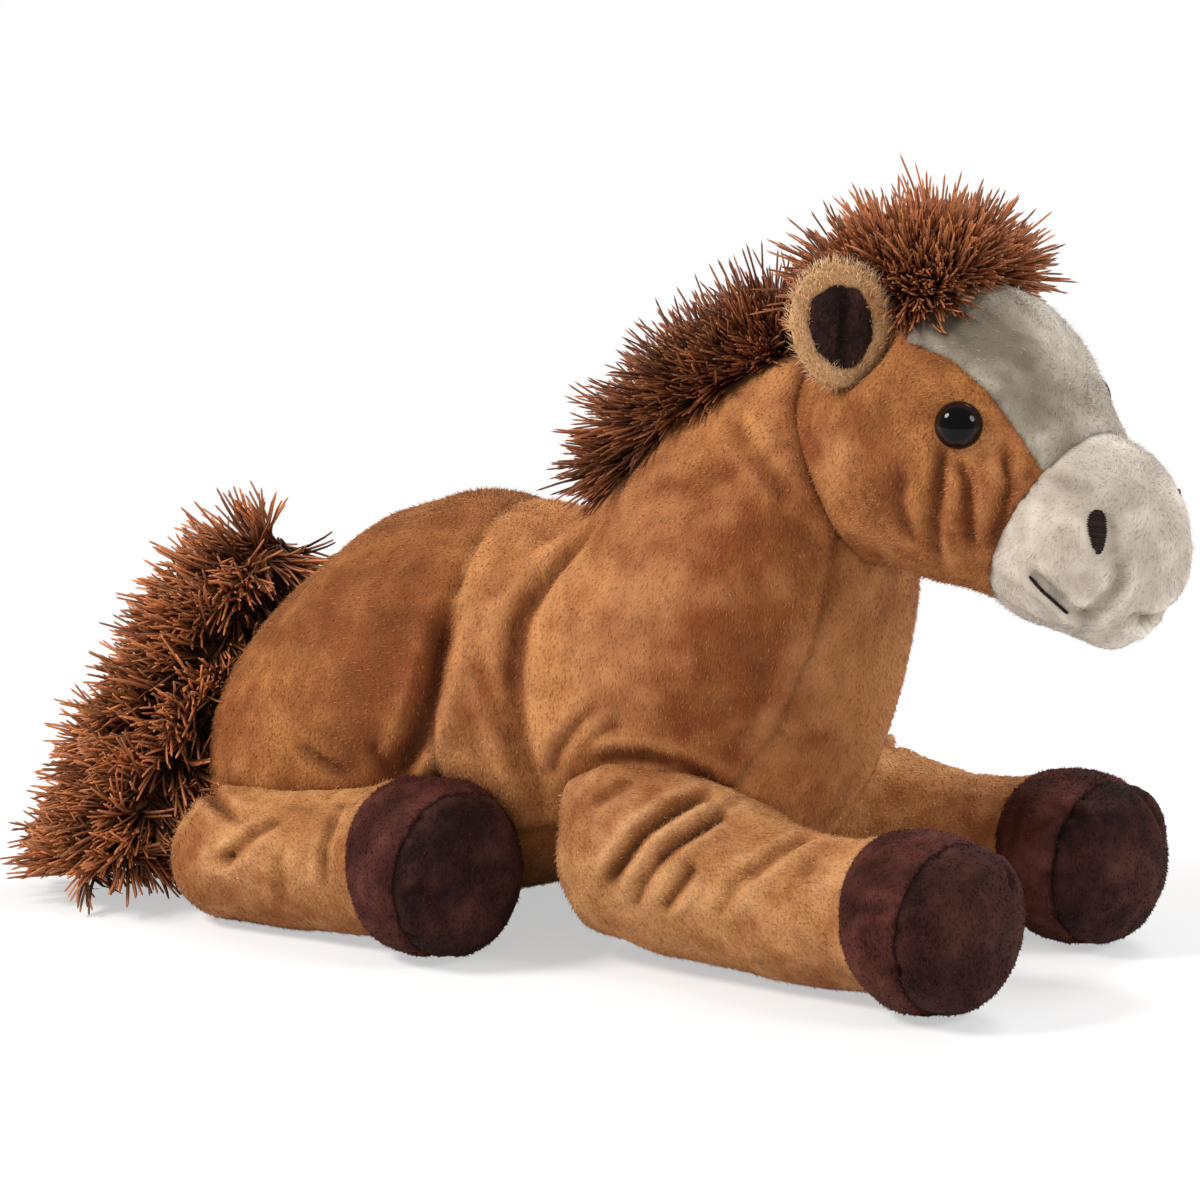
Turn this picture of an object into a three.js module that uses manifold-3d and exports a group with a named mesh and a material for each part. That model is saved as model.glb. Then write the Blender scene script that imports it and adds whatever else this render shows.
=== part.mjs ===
// A lying plush horse: sewn panels around stuffing, soft limbs that swing where they are sewn on.
// Millimetres, +Z up, +X towards the muzzle, the floor at z = 0. Every section table holds shares
// of the named sizes, so the toy follows them when they change.
import * as THREE from "three";
import Module from "manifold-3d";
import { mergeVertices } from "three/addons/utils/BufferGeometryUtils.js";

const wasm = await Module();
wasm.setup();

// Trunk and neck
const trunkLength = 270;
const trunkHeight = 160;
const trunkWidth = 160;
// Head, turned a little to the right on the neck
const headSize = 108;
const headWidth = 100;
const headTurn = 11;
// Legs
const foreLegLength = 113;
const hindLegLength = 71;
const foreLegGirth = 56;
const hindLegGirth = 54;
const leftForeLead = 14;
const legSeamDiameter = 14;
const hoofLength = 56;
const hoofGirth = 65;
const hoofTurnOut = 14;
// Trim
const eyeDiameter = 17;
const eyePostDiameter = 4;
const eyePostLength = 8;
const washerDiameter = 14;
const washerThickness = 1.5;
const nostrilHeight = 14;
const nostrilWidth = 7;
const stitchThickness = 1.2;
const earHeight = 47;
const earWidth = 38;
const earThickness = 9;
const earLiningThickness = 3;
const manePile = 25;
const forelockPile = 30;
const tailLength = 150;
const tailGirth = 62;
const tailPile = 7;
const tailCoreGirth = 14;
// Cloth and fits
const clothThickness = 2.4;
const padGap = 1;
const waistGap = 3.5;
const seamGap = 0.8;
const seatGap = 0.35;
const swingGap = 2;
// How far each joint swings, in degrees
const headSwing = 12;
const legSwingIn = 4;
const legSwingOut = 18;
const earSwing = 18;
const tailSwing = 40;

// A loft row: the section's centre, its half height and its half width as vectors.
function profileRow([topX, topZ, lowX, lowZ, half], length, height, width) {
  const top = new THREE.Vector3(topX * length, 0, topZ * height);
  const low = new THREE.Vector3(lowX * length, 0, lowZ * height);
  return {
    centre: top.clone().add(low).multiplyScalar(0.5),
    up: top.clone().sub(low).multiplyScalar(0.5),
    side: new THREE.Vector3(0, (half * width) / 2, 0),
  };
}

// Rows along a spine in plan: each section stands square to the way the spine runs.
function spineRows(points, halfWidths, halfHeights) {
  const up = new THREE.Vector3(0, 0, 1);
  return points.map((centre, i) => {
    const along = points[Math.min(i + 1, points.length - 1)]
      .clone()
      .sub(points[Math.max(i - 1, 0)])
      .normalize();
    const side = up.clone().cross(along).normalize();
    return {
      centre,
      up: along.clone().cross(side).multiplyScalar(halfHeights[i]),
      side: side.multiplyScalar(halfWidths[i]),
    };
  });
}

function smooth(a, b, c, d, t) {
  const out = a.clone().multiplyScalar(-t + 2 * t * t - t * t * t);
  out.addScaledVector(b, 2 - 5 * t * t + 3 * t * t * t);
  out.addScaledVector(c, t + 4 * t * t - 3 * t * t * t);
  return out.addScaledVector(d, -t * t + t * t * t).multiplyScalar(0.5);
}

// A surface through the rows. point(s, turn, inset) takes the row number, the angle in degrees
// (0 left, 90 up, 180 right, 270 down) and how deep below the cloth's face it lies.
const probeShare = 0.02;
function loft(rows, { onFloor = true, place = new THREE.Matrix4() } = {}) {
  const last = rows.length - 1;
  const mix = (key, s) => {
    const i = Math.min(Math.floor(s), last - 1);
    const at = (k) => rows[Math.min(Math.max(k, 0), last)][key];
    return smooth(at(i - 1), at(i), at(i + 1), at(i + 2), s - i);
  };
  const skin = (s, turn) => {
    const angle = THREE.MathUtils.degToRad(turn);
    return mix("centre", s)
      .addScaledVector(mix("up", s), Math.sin(angle))
      .addScaledVector(mix("side", s), Math.cos(angle))
      .applyMatrix4(place);
  };
  return {
    last,
    point(s, turn, inset = 0) {
      const p = skin(s, turn);
      const ahead = skin(Math.min(s + probeShare, last), turn);
      ahead.sub(skin(Math.max(s - probeShare, 0), turn));
      const around = skin(s, turn + 1).sub(skin(s, turn - 1));
      p.addScaledVector(around.cross(ahead).normalize(), -inset);
      if (onFloor) p.z = Math.max(p.z, inset);
      return p;
    },
  };
}

function geometryOf(points, faces) {
  const g = new THREE.BufferGeometry().setFromPoints(points);
  return g.setIndex(faces.flat());
}

// A closed plump solid inside a loft, with a pole at each end.
function stuffing(form, s0, s1, inset, [step, sides]) {
  const depth = typeof inset === "function" ? inset : () => inset;
  const rows = between(s0, s1, step);
  const rings = rows.length - 1;
  const points = [];
  const faces = [];
  rows.forEach((s, i) => {
    for (let j = 0; j < sides; j++) points.push(form.point(s, (360 * j) / sides, depth(i, j)));
  });
  const ring = (i, j) => i * sides + (j % sides);
  for (let i = 0; i < rings; i++) {
    for (let j = 0; j < sides; j++) {
      faces.push([ring(i, j), ring(i, j + 1), ring(i + 1, j + 1)]);
      faces.push([ring(i, j), ring(i + 1, j + 1), ring(i + 1, j)]);
    }
  }
  for (const [end, flip] of [[0, false], [rings, true]]) {
    const middle = new THREE.Vector3();
    for (let j = 0; j < sides; j++) middle.addScaledVector(points[ring(end, j)], 1 / sides);
    points.push(middle);
    const pole = points.length - 1;
    for (let j = 0; j < sides; j++) {
      faces.push(flip
        ? [ring(end, j), ring(end, j + 1), pole]
        : [ring(end, j + 1), ring(end, j), pole]);
    }
  }
  return geometryOf(points, faces);
}

// The share of a row that half a seam's gap takes at row s.
function seamShare(form, s) {
  const before = Math.max(s - 0.5, 0);
  const after = Math.min(s + 0.5, form.last);
  const gaps = [90, 180, 270].map((turn) =>
    form.point(before, turn).distanceTo(form.point(after, turn)) / (after - before));
  return seamGap / 2 / Math.min(...gaps);
}

const between = (from, to, step) => {
  const list = [from];
  for (let k = Math.floor(from / step) + 1; k * step < to; k++) {
    if (k * step - from > step / 4 && to - k * step > step / 4) list.push(k * step);
  }
  return [...list, to];
};

// A sewn panel: the cloth between two rows and two angles, its face at the depth outer and its
// back at the depth inner. The angles can change along the rows. A full turn makes a sleeve.
function panel(form, s0, s1, turn0, turn1, grid, outer = 0, inner = clothThickness) {
  const [step, sides] = grid;
  const angleOf = (turn) => (typeof turn === "function" ? turn : () => turn);
  const [from, to] = [angleOf(turn0), angleOf(turn1)];
  const sleeve = to(s0) - from(s0) >= 360;
  const depth = typeof outer === "function" ? outer : () => outer;
  const first = s0 > 0 ? s0 + seamShare(form, s0) : s0;
  const end = s1 < form.last ? s1 - seamShare(form, s1) : s1;
  const rows = between(first, end, step);
  const fixed = typeof turn0 !== "function" && typeof turn1 !== "function";
  const columns = fixed && !sleeve ? between(turn0, turn1, 360 / sides) : null;
  const count = columns ? columns.length - 1 : Math.ceil(((to(s0) - from(s0)) * sides) / 360);
  const points = [];
  const faces = [];
  const spots = sleeve ? count : count + 1;
  for (const back of [false, true]) {
    rows.forEach((s, i) => {
      for (let j = 0; j < spots; j++) {
        const turn = columns ? columns[j] : from(s) + ((to(s) - from(s)) * j) / count;
        const deep = back ? inner : depth(i, j, rows.length - 1, count);
        const p = form.point(s, turn, deep);
        if (!sleeve && (j === 0 || j === count)) {
          const inwards = form.point(s, turn + (j ? -1 : 1), deep).sub(p);
          if (inwards.length() > 0) p.addScaledVector(inwards.normalize(), seamGap / 2);
        }
        points.push(p);
      }
    });
  }
  const last = rows.length - 1;
  const at = (back, i, j) => (back * rows.length + i) * spots + (j % spots);
  const quad = (a, b, c, d) => faces.push([a, b, c], [a, c, d]);
  for (let i = 0; i < last; i++) {
    for (let j = 0; j < count; j++) {
      quad(at(0, i, j), at(0, i, j + 1), at(0, i + 1, j + 1), at(0, i + 1, j));
      quad(at(1, i, j), at(1, i + 1, j), at(1, i + 1, j + 1), at(1, i, j + 1));
    }
    if (!sleeve) {
      quad(at(0, i, 0), at(0, i + 1, 0), at(1, i + 1, 0), at(1, i, 0));
      quad(at(0, i, count), at(1, i, count), at(1, i + 1, count), at(0, i + 1, count));
    }
  }
  for (let j = 0; j < count; j++) {
    quad(at(0, 0, j), at(1, 0, j), at(1, 0, j + 1), at(0, 0, j + 1));
    quad(at(0, last, j), at(0, last, j + 1), at(1, last, j + 1), at(1, last, j));
  }
  return geometryOf(points, faces);
}

function solidOf(geometry) {
  const bare = geometry.clone();
  for (const name of Object.keys(bare.attributes)) if (name !== "position") bare.deleteAttribute(name);
  const merged = mergeVertices(bare, 1e-4);
  return new wasm.Manifold(new wasm.Mesh({
    numProp: 3,
    vertProperties: new Float32Array(merged.attributes.position.array),
    triVerts: new Uint32Array(merged.index.array),
  }));
}

// The largest body of a cut solid, as a geometry: cutting a panel can leave loose slivers.
function geometryFrom(solid) {
  const body = solid.decompose().reduce((a, b) => (a.volume() > b.volume() ? a : b));
  const mesh = body.getMesh();
  const g = new THREE.BufferGeometry();
  const stride = mesh.numProp;
  const xyz = new Float32Array(mesh.numVert * 3);
  for (let i = 0; i < mesh.numVert; i++) {
    xyz.set(mesh.vertProperties.subarray(i * stride, i * stride + 3), i * 3);
  }
  g.setAttribute("position", new THREE.BufferAttribute(xyz, 3));
  return g.setIndex(new THREE.BufferAttribute(mesh.triVerts, 1));
}

// The room that a solid takes as it turns about an axis through a point.
function sweep(geometry, pivot, axis, from, to, steps) {
  let room = null;
  for (let i = 0; i <= steps; i++) {
    const angle = THREE.MathUtils.degToRad(from + ((to - from) * i) / steps);
    const turned = geometry.clone()
      .translate(-pivot.x, -pivot.y, -pivot.z)
      .applyMatrix4(new THREE.Matrix4().makeRotationAxis(axis, angle))
      .translate(pivot.x, pivot.y, pivot.z);
    const solid = solidOf(turned);
    room = room ? room.add(solid) : solid;
  }
  return room.simplify(seamGap / 8);
}

const cloth = (color) => new THREE.MeshStandardMaterial({ color, roughness: 0.95, metalness: 0 });
const looks = {
  tan: cloth(0xc48a55),
  cream: cloth(0xe6dccd),
  brown: cloth(0x4a2320),
  mane: cloth(0x5a2a16),
  thread: cloth(0x2a1512),
  filling: cloth(0xf2f0ea),
  eye: new THREE.MeshStandardMaterial({ color: 0x090606, roughness: 0.08, metalness: 0 }),
  washer: new THREE.MeshStandardMaterial({ color: 0xe8e6e0, roughness: 0.5, metalness: 0 }),
};

const horse = new THREE.Group();
function add(name, source, look) {
  const geometry = source.isBufferGeometry ? source : geometryFrom(source);
  geometry.computeVertexNormals();
  const mesh = new THREE.Mesh(geometry, looks[look]);
  mesh.name = name;
  horse.add(mesh);
  return mesh;
}

// Trunk and neck: [top x, top z, bottom x, bottom z, half width], from the rump to the poll.
const trunkShares = [
  [-0.567, 0.275, -0.567, 0.231, 0.019],
  [-0.552, 0.438, -0.567, 0.087, 0.475],
  [-0.496, 0.613, -0.537, -0.013, 0.75],
  [-0.411, 0.775, -0.474, -0.037, 0.912],
  [-0.296, 0.925, -0.37, -0.037, 0.988],
  [-0.185, 0.994, -0.222, -0.025, 0.975],
  [-0.089, 0.988, -0.089, 0.025, 0.863],
  [0.019, 0.981, 0.019, 0.081, 0.8],
  [0.074, 1.044, 0.141, 0.094, 0.812],
  [0.13, 1.15, 0.252, 0.113, 0.812],
  [0.185, 1.25, 0.363, 0.194, 0.775],
  [0.244, 1.325, 0.444, 0.375, 0.725],
  [0.304, 1.381, 0.489, 0.625, 0.65],
  [0.367, 1.425, 0.493, 0.887, 0.575],
  [0.43, 1.45, 0.496, 1.05, 0.5],
];
const hindSeamRowShare = 6;
const chestSeamRowShare = 8;
const neckRow = trunkShares.length - 1;
const backTurn = 90;
const bellyRightTurn = 216;
const bellyLeftTurn = 324;
const trunk = loft(trunkShares.map((row) => profileRow(row, trunkLength, trunkHeight, trunkWidth)));

// Head: the same kind of rows about the skull's centre, from the back of the skull to the muzzle.
const headShares = [
  [-0.481, 0.046, -0.481, 0.028, 0.02],
  [-0.454, 0.222, -0.458, -0.148, 0.48],
  [-0.352, 0.398, -0.389, -0.333, 0.76],
  [-0.167, 0.491, -0.25, -0.463, 0.94],
  [0.037, 0.519, -0.056, -0.509, 1],
  [0.222, 0.463, 0.093, -0.519, 0.98],
  [0.37, 0.343, 0.176, -0.528, 0.9],
  [0.481, 0.176, 0.222, -0.537, 0.8],
  [0.556, 0.037, 0.25, -0.556, 0.72],
  [0.655, 0, 0.342, -0.602, 0.71],
  [0.745, -0.066, 0.475, -0.634, 0.7],
  [0.812, -0.17, 0.61, -0.63, 0.59],
  [0.838, -0.296, 0.735, -0.57, 0.39],
  [0.824, -0.407, 0.812, -0.452, 0.03],
];
const muzzleRowShare = 8;
const browRowShare = 4;
const tipRow = headShares.length - 1;
const skullXShare = 0.6;
const skullZShare = 1.26;
const neckXShare = 0.42;
const neckZShare = 1.15;
const neckTiltShare = 0.61;
const headPivot = new THREE.Vector3(neckXShare * trunkLength, 0, neckZShare * trunkHeight);
const headAxis = new THREE.Vector3(Math.cos(neckTiltShare * Math.PI / 2), 0,
  Math.sin(neckTiltShare * Math.PI / 2));
const headPlace = new THREE.Matrix4()
  .makeTranslation(headPivot.x, headPivot.y, headPivot.z)
  .multiply(new THREE.Matrix4().makeRotationZ(THREE.MathUtils.degToRad(-headTurn)))
  .multiply(new THREE.Matrix4().makeTranslation(
    skullXShare * trunkLength - headPivot.x, 0, skullZShare * trunkHeight - headPivot.z));
const head = loft(
  headShares.map((row) => profileRow(row, headSize, headSize, headWidth)),
  { onFloor: false, place: headPlace },
);

// Legs: [along, out, up, half width, half height] from the joint to the hoof's seam, then the hoof.
const foreShares = [
  [-0.21, 0, 1.5, 0.05, 0.05],
  [-0.18, 0, 1.55, 0.75, 0.85],
  [-0.06, 0, 1.5, 1.06, 1.18],
  [0.16, 0, 1.36, 1.08, 1.2],
  [0.4, 0, 1.16, 1, 1.06],
  [0.66, 0, 1.03, 0.94, 0.98],
  [0.9, 0, 1.05, 0.95, 0.98],
];
const hindShares = [
  [-0.34, 0, 0.85, 0.05, 0.05],
  [-0.29, 0, 0.88, 0.72, 0.66],
  [-0.1, 0, 0.9, 0.92, 0.9],
  [0.18, 0, 0.92, 0.94, 0.93],
  [0.48, 0, 0.96, 0.93, 0.95],
  [0.72, 0, 1.05, 0.95, 0.98],
  [0.9, 0, 1.1, 0.95, 0.98],
];
// Hoof: [along, radius], out of the leg's end to the middle of the domed sole. The toy lies with
// both front hooves turned a little to its right and each hind hoof turned out.
const hoofShares = [
  [0.13, 0.89], [0.27, 0.98], [0.45, 1.03], [0.65, 1], [0.84, 0.85], [0.96, 0.52], [1, 0.05],
];
const soleShare = 3;

function legForm({ shares, length, girth, joint, heading, mirror, hoofTurn }) {
  const forward = new THREE.Vector3(Math.cos(heading), mirror * Math.sin(heading), 0);
  const hoofForward = forward.clone()
    .applyAxisAngle(new THREE.Vector3(0, 0, 1), THREE.MathUtils.degToRad(-hoofTurn));
  const points = [];
  const widths = [];
  const heights = [];
  for (const [along, , up, wide, high] of shares) {
    points.push(new THREE.Vector3(joint.x, joint.y, (up * girth) / 2)
      .addScaledVector(forward, along * length));
    widths.push((wide * girth) / 2);
    heights.push((high * girth) / 2);
  }
  const seam = points[points.length - 1];
  for (const [along, round] of hoofShares) {
    points.push(new THREE.Vector3(seam.x, seam.y, hoofGirth / 2)
      .addScaledVector(hoofForward, along * hoofLength));
    widths.push((round * hoofGirth) / 2);
    heights.push((round * hoofGirth) / 2);
  }
  return loft(spineRows(points, widths, heights));
}

const foreXShare = 0.19;
const foreYShare = 0.335;
const foreHeadingShare = 0.05;
const hindXShare = -0.385;
const hindYShare = 0.5;
const hindHeadingShare = 0;
const limbs = [];
for (const [side, mirror] of [["right", -1], ["left", 1]]) {
  const lead = side === "left" ? leftForeLead : 0;
  limbs.push({
    name: "front_leg_" + side, mirror, rows: foreShares.length,
    joint: new THREE.Vector3(foreXShare * trunkLength + lead, mirror * foreYShare * trunkWidth, 0),
    heading: side === "right" ? foreHeadingShare : -foreHeadingShare / 2,
    shares: foreShares, length: foreLegLength, girth: foreLegGirth, sewnOnTop: true,
    hoofTurn: hoofTurnOut,
  });
  limbs.push({
    name: "hind_leg_" + side, mirror, rows: hindShares.length,
    joint: new THREE.Vector3(hindXShare * trunkLength, mirror * hindYShare * trunkWidth, 0),
    heading: hindHeadingShare,
    shares: hindShares, length: hindLegLength, girth: hindLegGirth,
    hoofTurn: -mirror * hoofTurnOut,
  });
}
const upright = new THREE.Vector3(0, 0, 1);
const legFacetShares = [1, 12];
const trunkFacetShares = [1, 20];
const headFacetShares = [1, 18];
const earFacetShares = [1, 12];
const tailFacetShares = [1, 12];
const maneFacetShares = [0.5, 30];
const forelockFacetShares = [0.5, 24];
const roomFacetShares = [1, 12];
for (const limb of limbs) {
  limb.form = legForm(limb);
  const whole = stuffing(limb.form, 0, limb.form.last, -swingGap, roomFacetShares);
  const [inner, outer] = [-limb.mirror * legSwingIn, limb.mirror * legSwingOut];
  limb.room = sweep(whole, limb.joint, upright, Math.min(inner, outer), Math.max(inner, outer), 2);
}

for (const limb of limbs) {
  const { name, form, rows } = limb;
  const sole = rows + soleShare;
  const deep = (i) => clothThickness + (i === rows ? waistGap : padGap);
  const wallRoom = solidOf(panel(form, rows, sole, 0, 360, legFacetShares, 0, clothThickness + seatGap));
  add(name + "_fill", solidOf(stuffing(form, 0, form.last, deep, legFacetShares)).subtract(wallRoom), "filling");
  add(name + "_skin_upper", panel(form, 0, rows, 0, 180, legFacetShares), "tan");
  add(name + "_skin_lower", panel(form, 0, rows, 180, 360, legFacetShares), "tan");
  add(name + "_hoof_wall", panel(form, rows, sole, 0, 360, legFacetShares), "brown");
  add(name + "_hoof_sole", panel(form, sole, form.last, 0, 360, legFacetShares), "brown");
  if (!limb.sewnOnTop) continue;
  // The stitches that hold a front leg lie on its joint, between its top and the trunk.
  const column = new THREE.CylinderGeometry(
    legSeamDiameter / 2, legSeamDiameter / 2, limb.girth, legFacetShares[1])
    .rotateX(Math.PI / 2)
    .translate(limb.joint.x, limb.joint.y, limb.girth * 1.5);
  add(name + "_seam",
    solidOf(column)
      .intersect(solidOf(stuffing(form, 0, form.last, seatGap - swingGap, roomFacetShares)))
      .subtract(solidOf(stuffing(form, 0, form.last, -seatGap, legFacetShares))), "tan");
}

// Tail: [back, out, up, half width, half depth] from its root on the rump to its end on the floor.
const tailShares = [
  [0, 0, 0.83, 0.04, 0.04],
  [-0.04, 0, 0.865, 0.5, 0.5],
  [-0.11, -0.06, 0.83, 0.82, 0.74],
  [-0.18, -0.17, 0.68, 0.9, 0.8],
  [-0.235, -0.29, 0.48, 0.96, 0.84],
  [-0.28, -0.4, 0.28, 1.04, 0.86],
  [-0.34, -0.48, 0.14, 1.2, 0.7],
  [-0.43, -0.54, 0.07, 0.9, 0.36],
  [-0.5, -0.57, 0.05, 0.06, 0.06],
];
const tailXShare = -0.44;
const tailRoot = new THREE.Vector3(tailXShare * trunkLength, 0, tailShares[0][2] * tailLength);
const tailPoints = tailShares.map(([back, out, up]) =>
  new THREE.Vector3(tailRoot.x + back * tailLength, out * tailLength, up * tailLength));
const tailForm = (girth) => loft(spineRows(tailPoints,
  tailShares.map((row) => (row[3] * girth) / 2), tailShares.map((row) => (row[4] * girth) / 2)));
const tail = tailForm(tailGirth);
const sideways = new THREE.Vector3(0, 1, 0);
const tuft = (i, j) => ((i + j) % 2 ? 0 : tailPile);
const tailWhole = stuffing(tail, 0, tail.last, -swingGap / 2, roomFacetShares);
const tailRoom = sweep(tailWhole, tailRoot, sideways, 0, tailSwing, 3);
const tailCore = tailForm(tailCoreGirth);
const coreEnd = tail.last - 2;
const hindRoom = limbs[1].room.add(limbs[3].room);
add("tail_core", solidOf(stuffing(tailCore, 0, coreEnd, 0, tailFacetShares)).subtract(hindRoom), "tan");
add("tail_pile",
  solidOf(stuffing(tail, 1, tail.last, tuft, tailFacetShares))
    .subtract(solidOf(stuffing(tailCore, 0, coreEnd, -seatGap, tailFacetShares)))
    .subtract(hindRoom), "mane");

// Ears: [up, half width, half depth, forward] from the root to the tip, in the ear's own frame.
const earShares = [
  [-0.03, 0.05, 0.06, 0],
  [0.01, 0.4, 0.75, 0],
  [0.12, 0.7, 1, 0],
  [0.34, 0.94, 1, 0],
  [0.58, 1, 0.9, 0],
  [0.8, 0.84, 0.8, 0],
  [0.94, 0.5, 0.6, 0],
  [1, 0.05, 0.06, 0],
];
const liningShares = [
  [0.15, 0.04, 0.1, 0.8],
  [0.2, 0.28, 0.8, 0.8],
  [0.36, 0.56, 1, 0.75],
  [0.56, 0.62, 1, 0.75],
  [0.76, 0.48, 0.8, 0.8],
  [0.84, 0.04, 0.1, 0.8],
];
function earForm(shares, depth, place) {
  return loft(shares.map(([up, wide, deep, forward]) => ({
    centre: new THREE.Vector3(0, (-forward * earThickness) / 2, up * earHeight),
    up: new THREE.Vector3(0, (deep * depth) / 2, 0),
    side: new THREE.Vector3((wide * earWidth) / 2, 0, 0),
  })), { onFloor: false, place });
}
const earXShare = -0.18;
const earYShare = 0.8;
const earZShare = 0.17;
const earGapShare = 0.7;
const earSpread = 16;
const earFacing = 48;
const ears = [["right", -1], ["left", 1]].map(([side, mirror]) => {
  const place = headPlace.clone()
    .multiply(new THREE.Matrix4().makeTranslation(
      earXShare * headSize, (mirror * earYShare * headWidth) / 2, earZShare * headSize))
    .multiply(new THREE.Matrix4().makeRotationX(THREE.MathUtils.degToRad(-mirror * earSpread)))
    .multiply(new THREE.Matrix4().makeRotationZ(THREE.MathUtils.degToRad(
      90 + mirror * earFacing)));
  const pivot = new THREE.Vector3().applyMatrix4(place);
  const axis = new THREE.Vector3(1, 0, 0).transformDirection(place);
  const form = earForm(earShares, earThickness, place);
  const lining = earForm(liningShares, earLiningThickness, place);
  const whole = stuffing(form, 0, form.last, -swingGap * earGapShare, roomFacetShares);
  const room = sweep(whole, pivot, axis, -earSwing, earSwing, 6);
  return { side, form, lining, pivot, axis, room };
});
for (const { side, form, lining } of ears) {
  const recess = solidOf(stuffing(lining, 0, lining.last, -seatGap, earFacetShares));
  add("ear_outer_" + side,
    solidOf(stuffing(form, 0, form.last, 0, earFacetShares)).subtract(recess), "tan");
  add("ear_lining_" + side, stuffing(lining, 0, lining.last, 0, earFacetShares), "brown");
}
const earRoom = ears[0].room.add(ears[1].room);

// Places on the head, as [row, angle] on its right side.
const eyeSpotShare = [5.7, 160];
const nostrilSpotShare = [10.4, 149];
const nostrilLean = 33;
const mouthShares = [[9.35, 194], [9.6, 197], [9.85, 199], [10.1, 202], [10.35, 206], [10.55, 209]];
const mirrored = (turn) => 180 - turn;
const forelockRowShares = [1.5, 4.7];
const forelockTurn = 132;
const maneRowShares = [7.9, 13.6];
const maneTurn = 114;

// A unit frame standing on the head: z out of the cloth.
function standOn(form, s, turn, depth) {
  const at = form.point(s, turn, depth);
  const out = form.point(s, turn, depth - seamGap).sub(at).normalize();
  const across = form.point(s, turn + 1, depth).sub(at).normalize();
  const along = out.clone().cross(across).normalize();
  return new THREE.Matrix4().makeBasis(across, along, out).setPosition(at);
}

// A cap of a given height on the head, thin at its edge: rings of an ellipse in row and angle.
function patch(form, [s, turn], tall, wide, lean, thick) {
  const rings = 3;
  const spokes = 12;
  const perRow = form.point(s + 0.5, turn).distanceTo(form.point(s - 0.5, turn));
  const perTurn = form.point(s, turn + 1).distanceTo(form.point(s, turn - 1)) / 2;
  const points = [];
  const faces = [];
  for (const back of [false, true]) {
    for (let i = 0; i <= rings; i++) {
      for (let j = 0; j < (i ? spokes : 1); j++) {
        const angle = (2 * Math.PI * j) / spokes;
        const r = i / rings;
        const depth = back ? clothThickness / 2 : -seatGap - thick * (1 - 0.7 * r * r);
        const spot = new THREE.Vector2(Math.cos(angle) * r * wide, Math.sin(angle) * r * tall)
          .rotateAround(new THREE.Vector2(), THREE.MathUtils.degToRad(-lean));
        points.push(form.point(s + spot.x / 2 / perRow, turn + spot.y / 2 / perTurn, depth));
      }
    }
  }
  const each = 1 + rings * spokes;
  const at = (back, i, j) => back * each + (i ? 1 + (i - 1) * spokes + (j % spokes) : 0);
  for (let j = 0; j < spokes; j++) {
    for (const back of [0, 1]) {
      const turnOver = (f) => (back ? f.reverse() : f);
      faces.push(turnOver([at(back, 0, 0), at(back, 1, j + 1), at(back, 1, j)]));
      for (let i = 1; i < rings; i++) {
        faces.push(turnOver([at(back, i, j), at(back, i, j + 1), at(back, i + 1, j + 1)]));
        faces.push(turnOver([at(back, i, j), at(back, i + 1, j + 1), at(back, i + 1, j)]));
      }
    }
    faces.push([at(0, rings, j), at(0, rings, j + 1), at(1, rings, j + 1)]);
    faces.push([at(0, rings, j), at(1, rings, j + 1), at(1, rings, j)]);
  }
  return geometryOf(points, faces);
}

// A raised line of stitches laid on the head through places given as [row, angle].
function stitches(form, places, thick) {
  const points = [];
  const faces = [];
  const perTurn = form.point(places[0][0], places[0][1] + 1)
    .distanceTo(form.point(places[0][0], places[0][1]));
  const half = thick / 2 / perTurn;
  for (const [s, turn] of places) {
    const [low, high] = [clothThickness / 2, -seatGap - thick];
    points.push(form.point(s, turn - half, low), form.point(s, turn - half, high));
    points.push(form.point(s, turn + half, high), form.point(s, turn + half, low));
  }
  const end = 4 * (places.length - 1);
  for (let i = 0; i < end; i += 4) {
    for (let j = 0; j < 4; j++) {
      const k = (j + 1) % 4;
      faces.push([i + j, i + k, i + 4 + k], [i + j, i + 4 + k, i + 4 + j]);
    }
  }
  faces.push([0, 2, 1], [0, 3, 2], [end, end + 1, end + 2], [end, end + 2, end + 3]);
  return geometryOf(points, faces);
}

// Eye: a dome on a post that passes through the cloth, locked by a washer behind it.
function eyeGeometry(grow) {
  const r = eyeDiameter / 2 + grow;
  const post = eyePostDiameter / 2 + grow;
  const profile = [new THREE.Vector2(0, -eyePostLength - grow), new THREE.Vector2(post, -eyePostLength - grow)];
  profile.push(new THREE.Vector2(post, -grow), new THREE.Vector2(r, -grow));
  const steps = 5;
  for (let i = 1; i <= steps; i++) {
    const angle = ((Math.PI / 2) * i) / steps;
    profile.push(new THREE.Vector2(i < steps ? r * Math.cos(angle) : 0, r * Math.sin(angle) * 0.85));
  }
  return new THREE.LatheGeometry(profile, 18).rotateX(Math.PI / 2);
}
function washerGeometry(grow) {
  const ring = new THREE.Shape().absarc(0, 0, washerDiameter / 2 + grow, 0, 2 * Math.PI);
  if (!grow) ring.holes.push(new THREE.Path().absarc(0, 0, eyePostDiameter / 2 + seatGap, 0, 2 * Math.PI));
  return new THREE.ExtrudeGeometry(ring, {
    depth: washerThickness + 2 * grow, bevelEnabled: false, curveSegments: 9,
  }).translate(0, 0, -washerThickness - grow);
}

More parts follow.
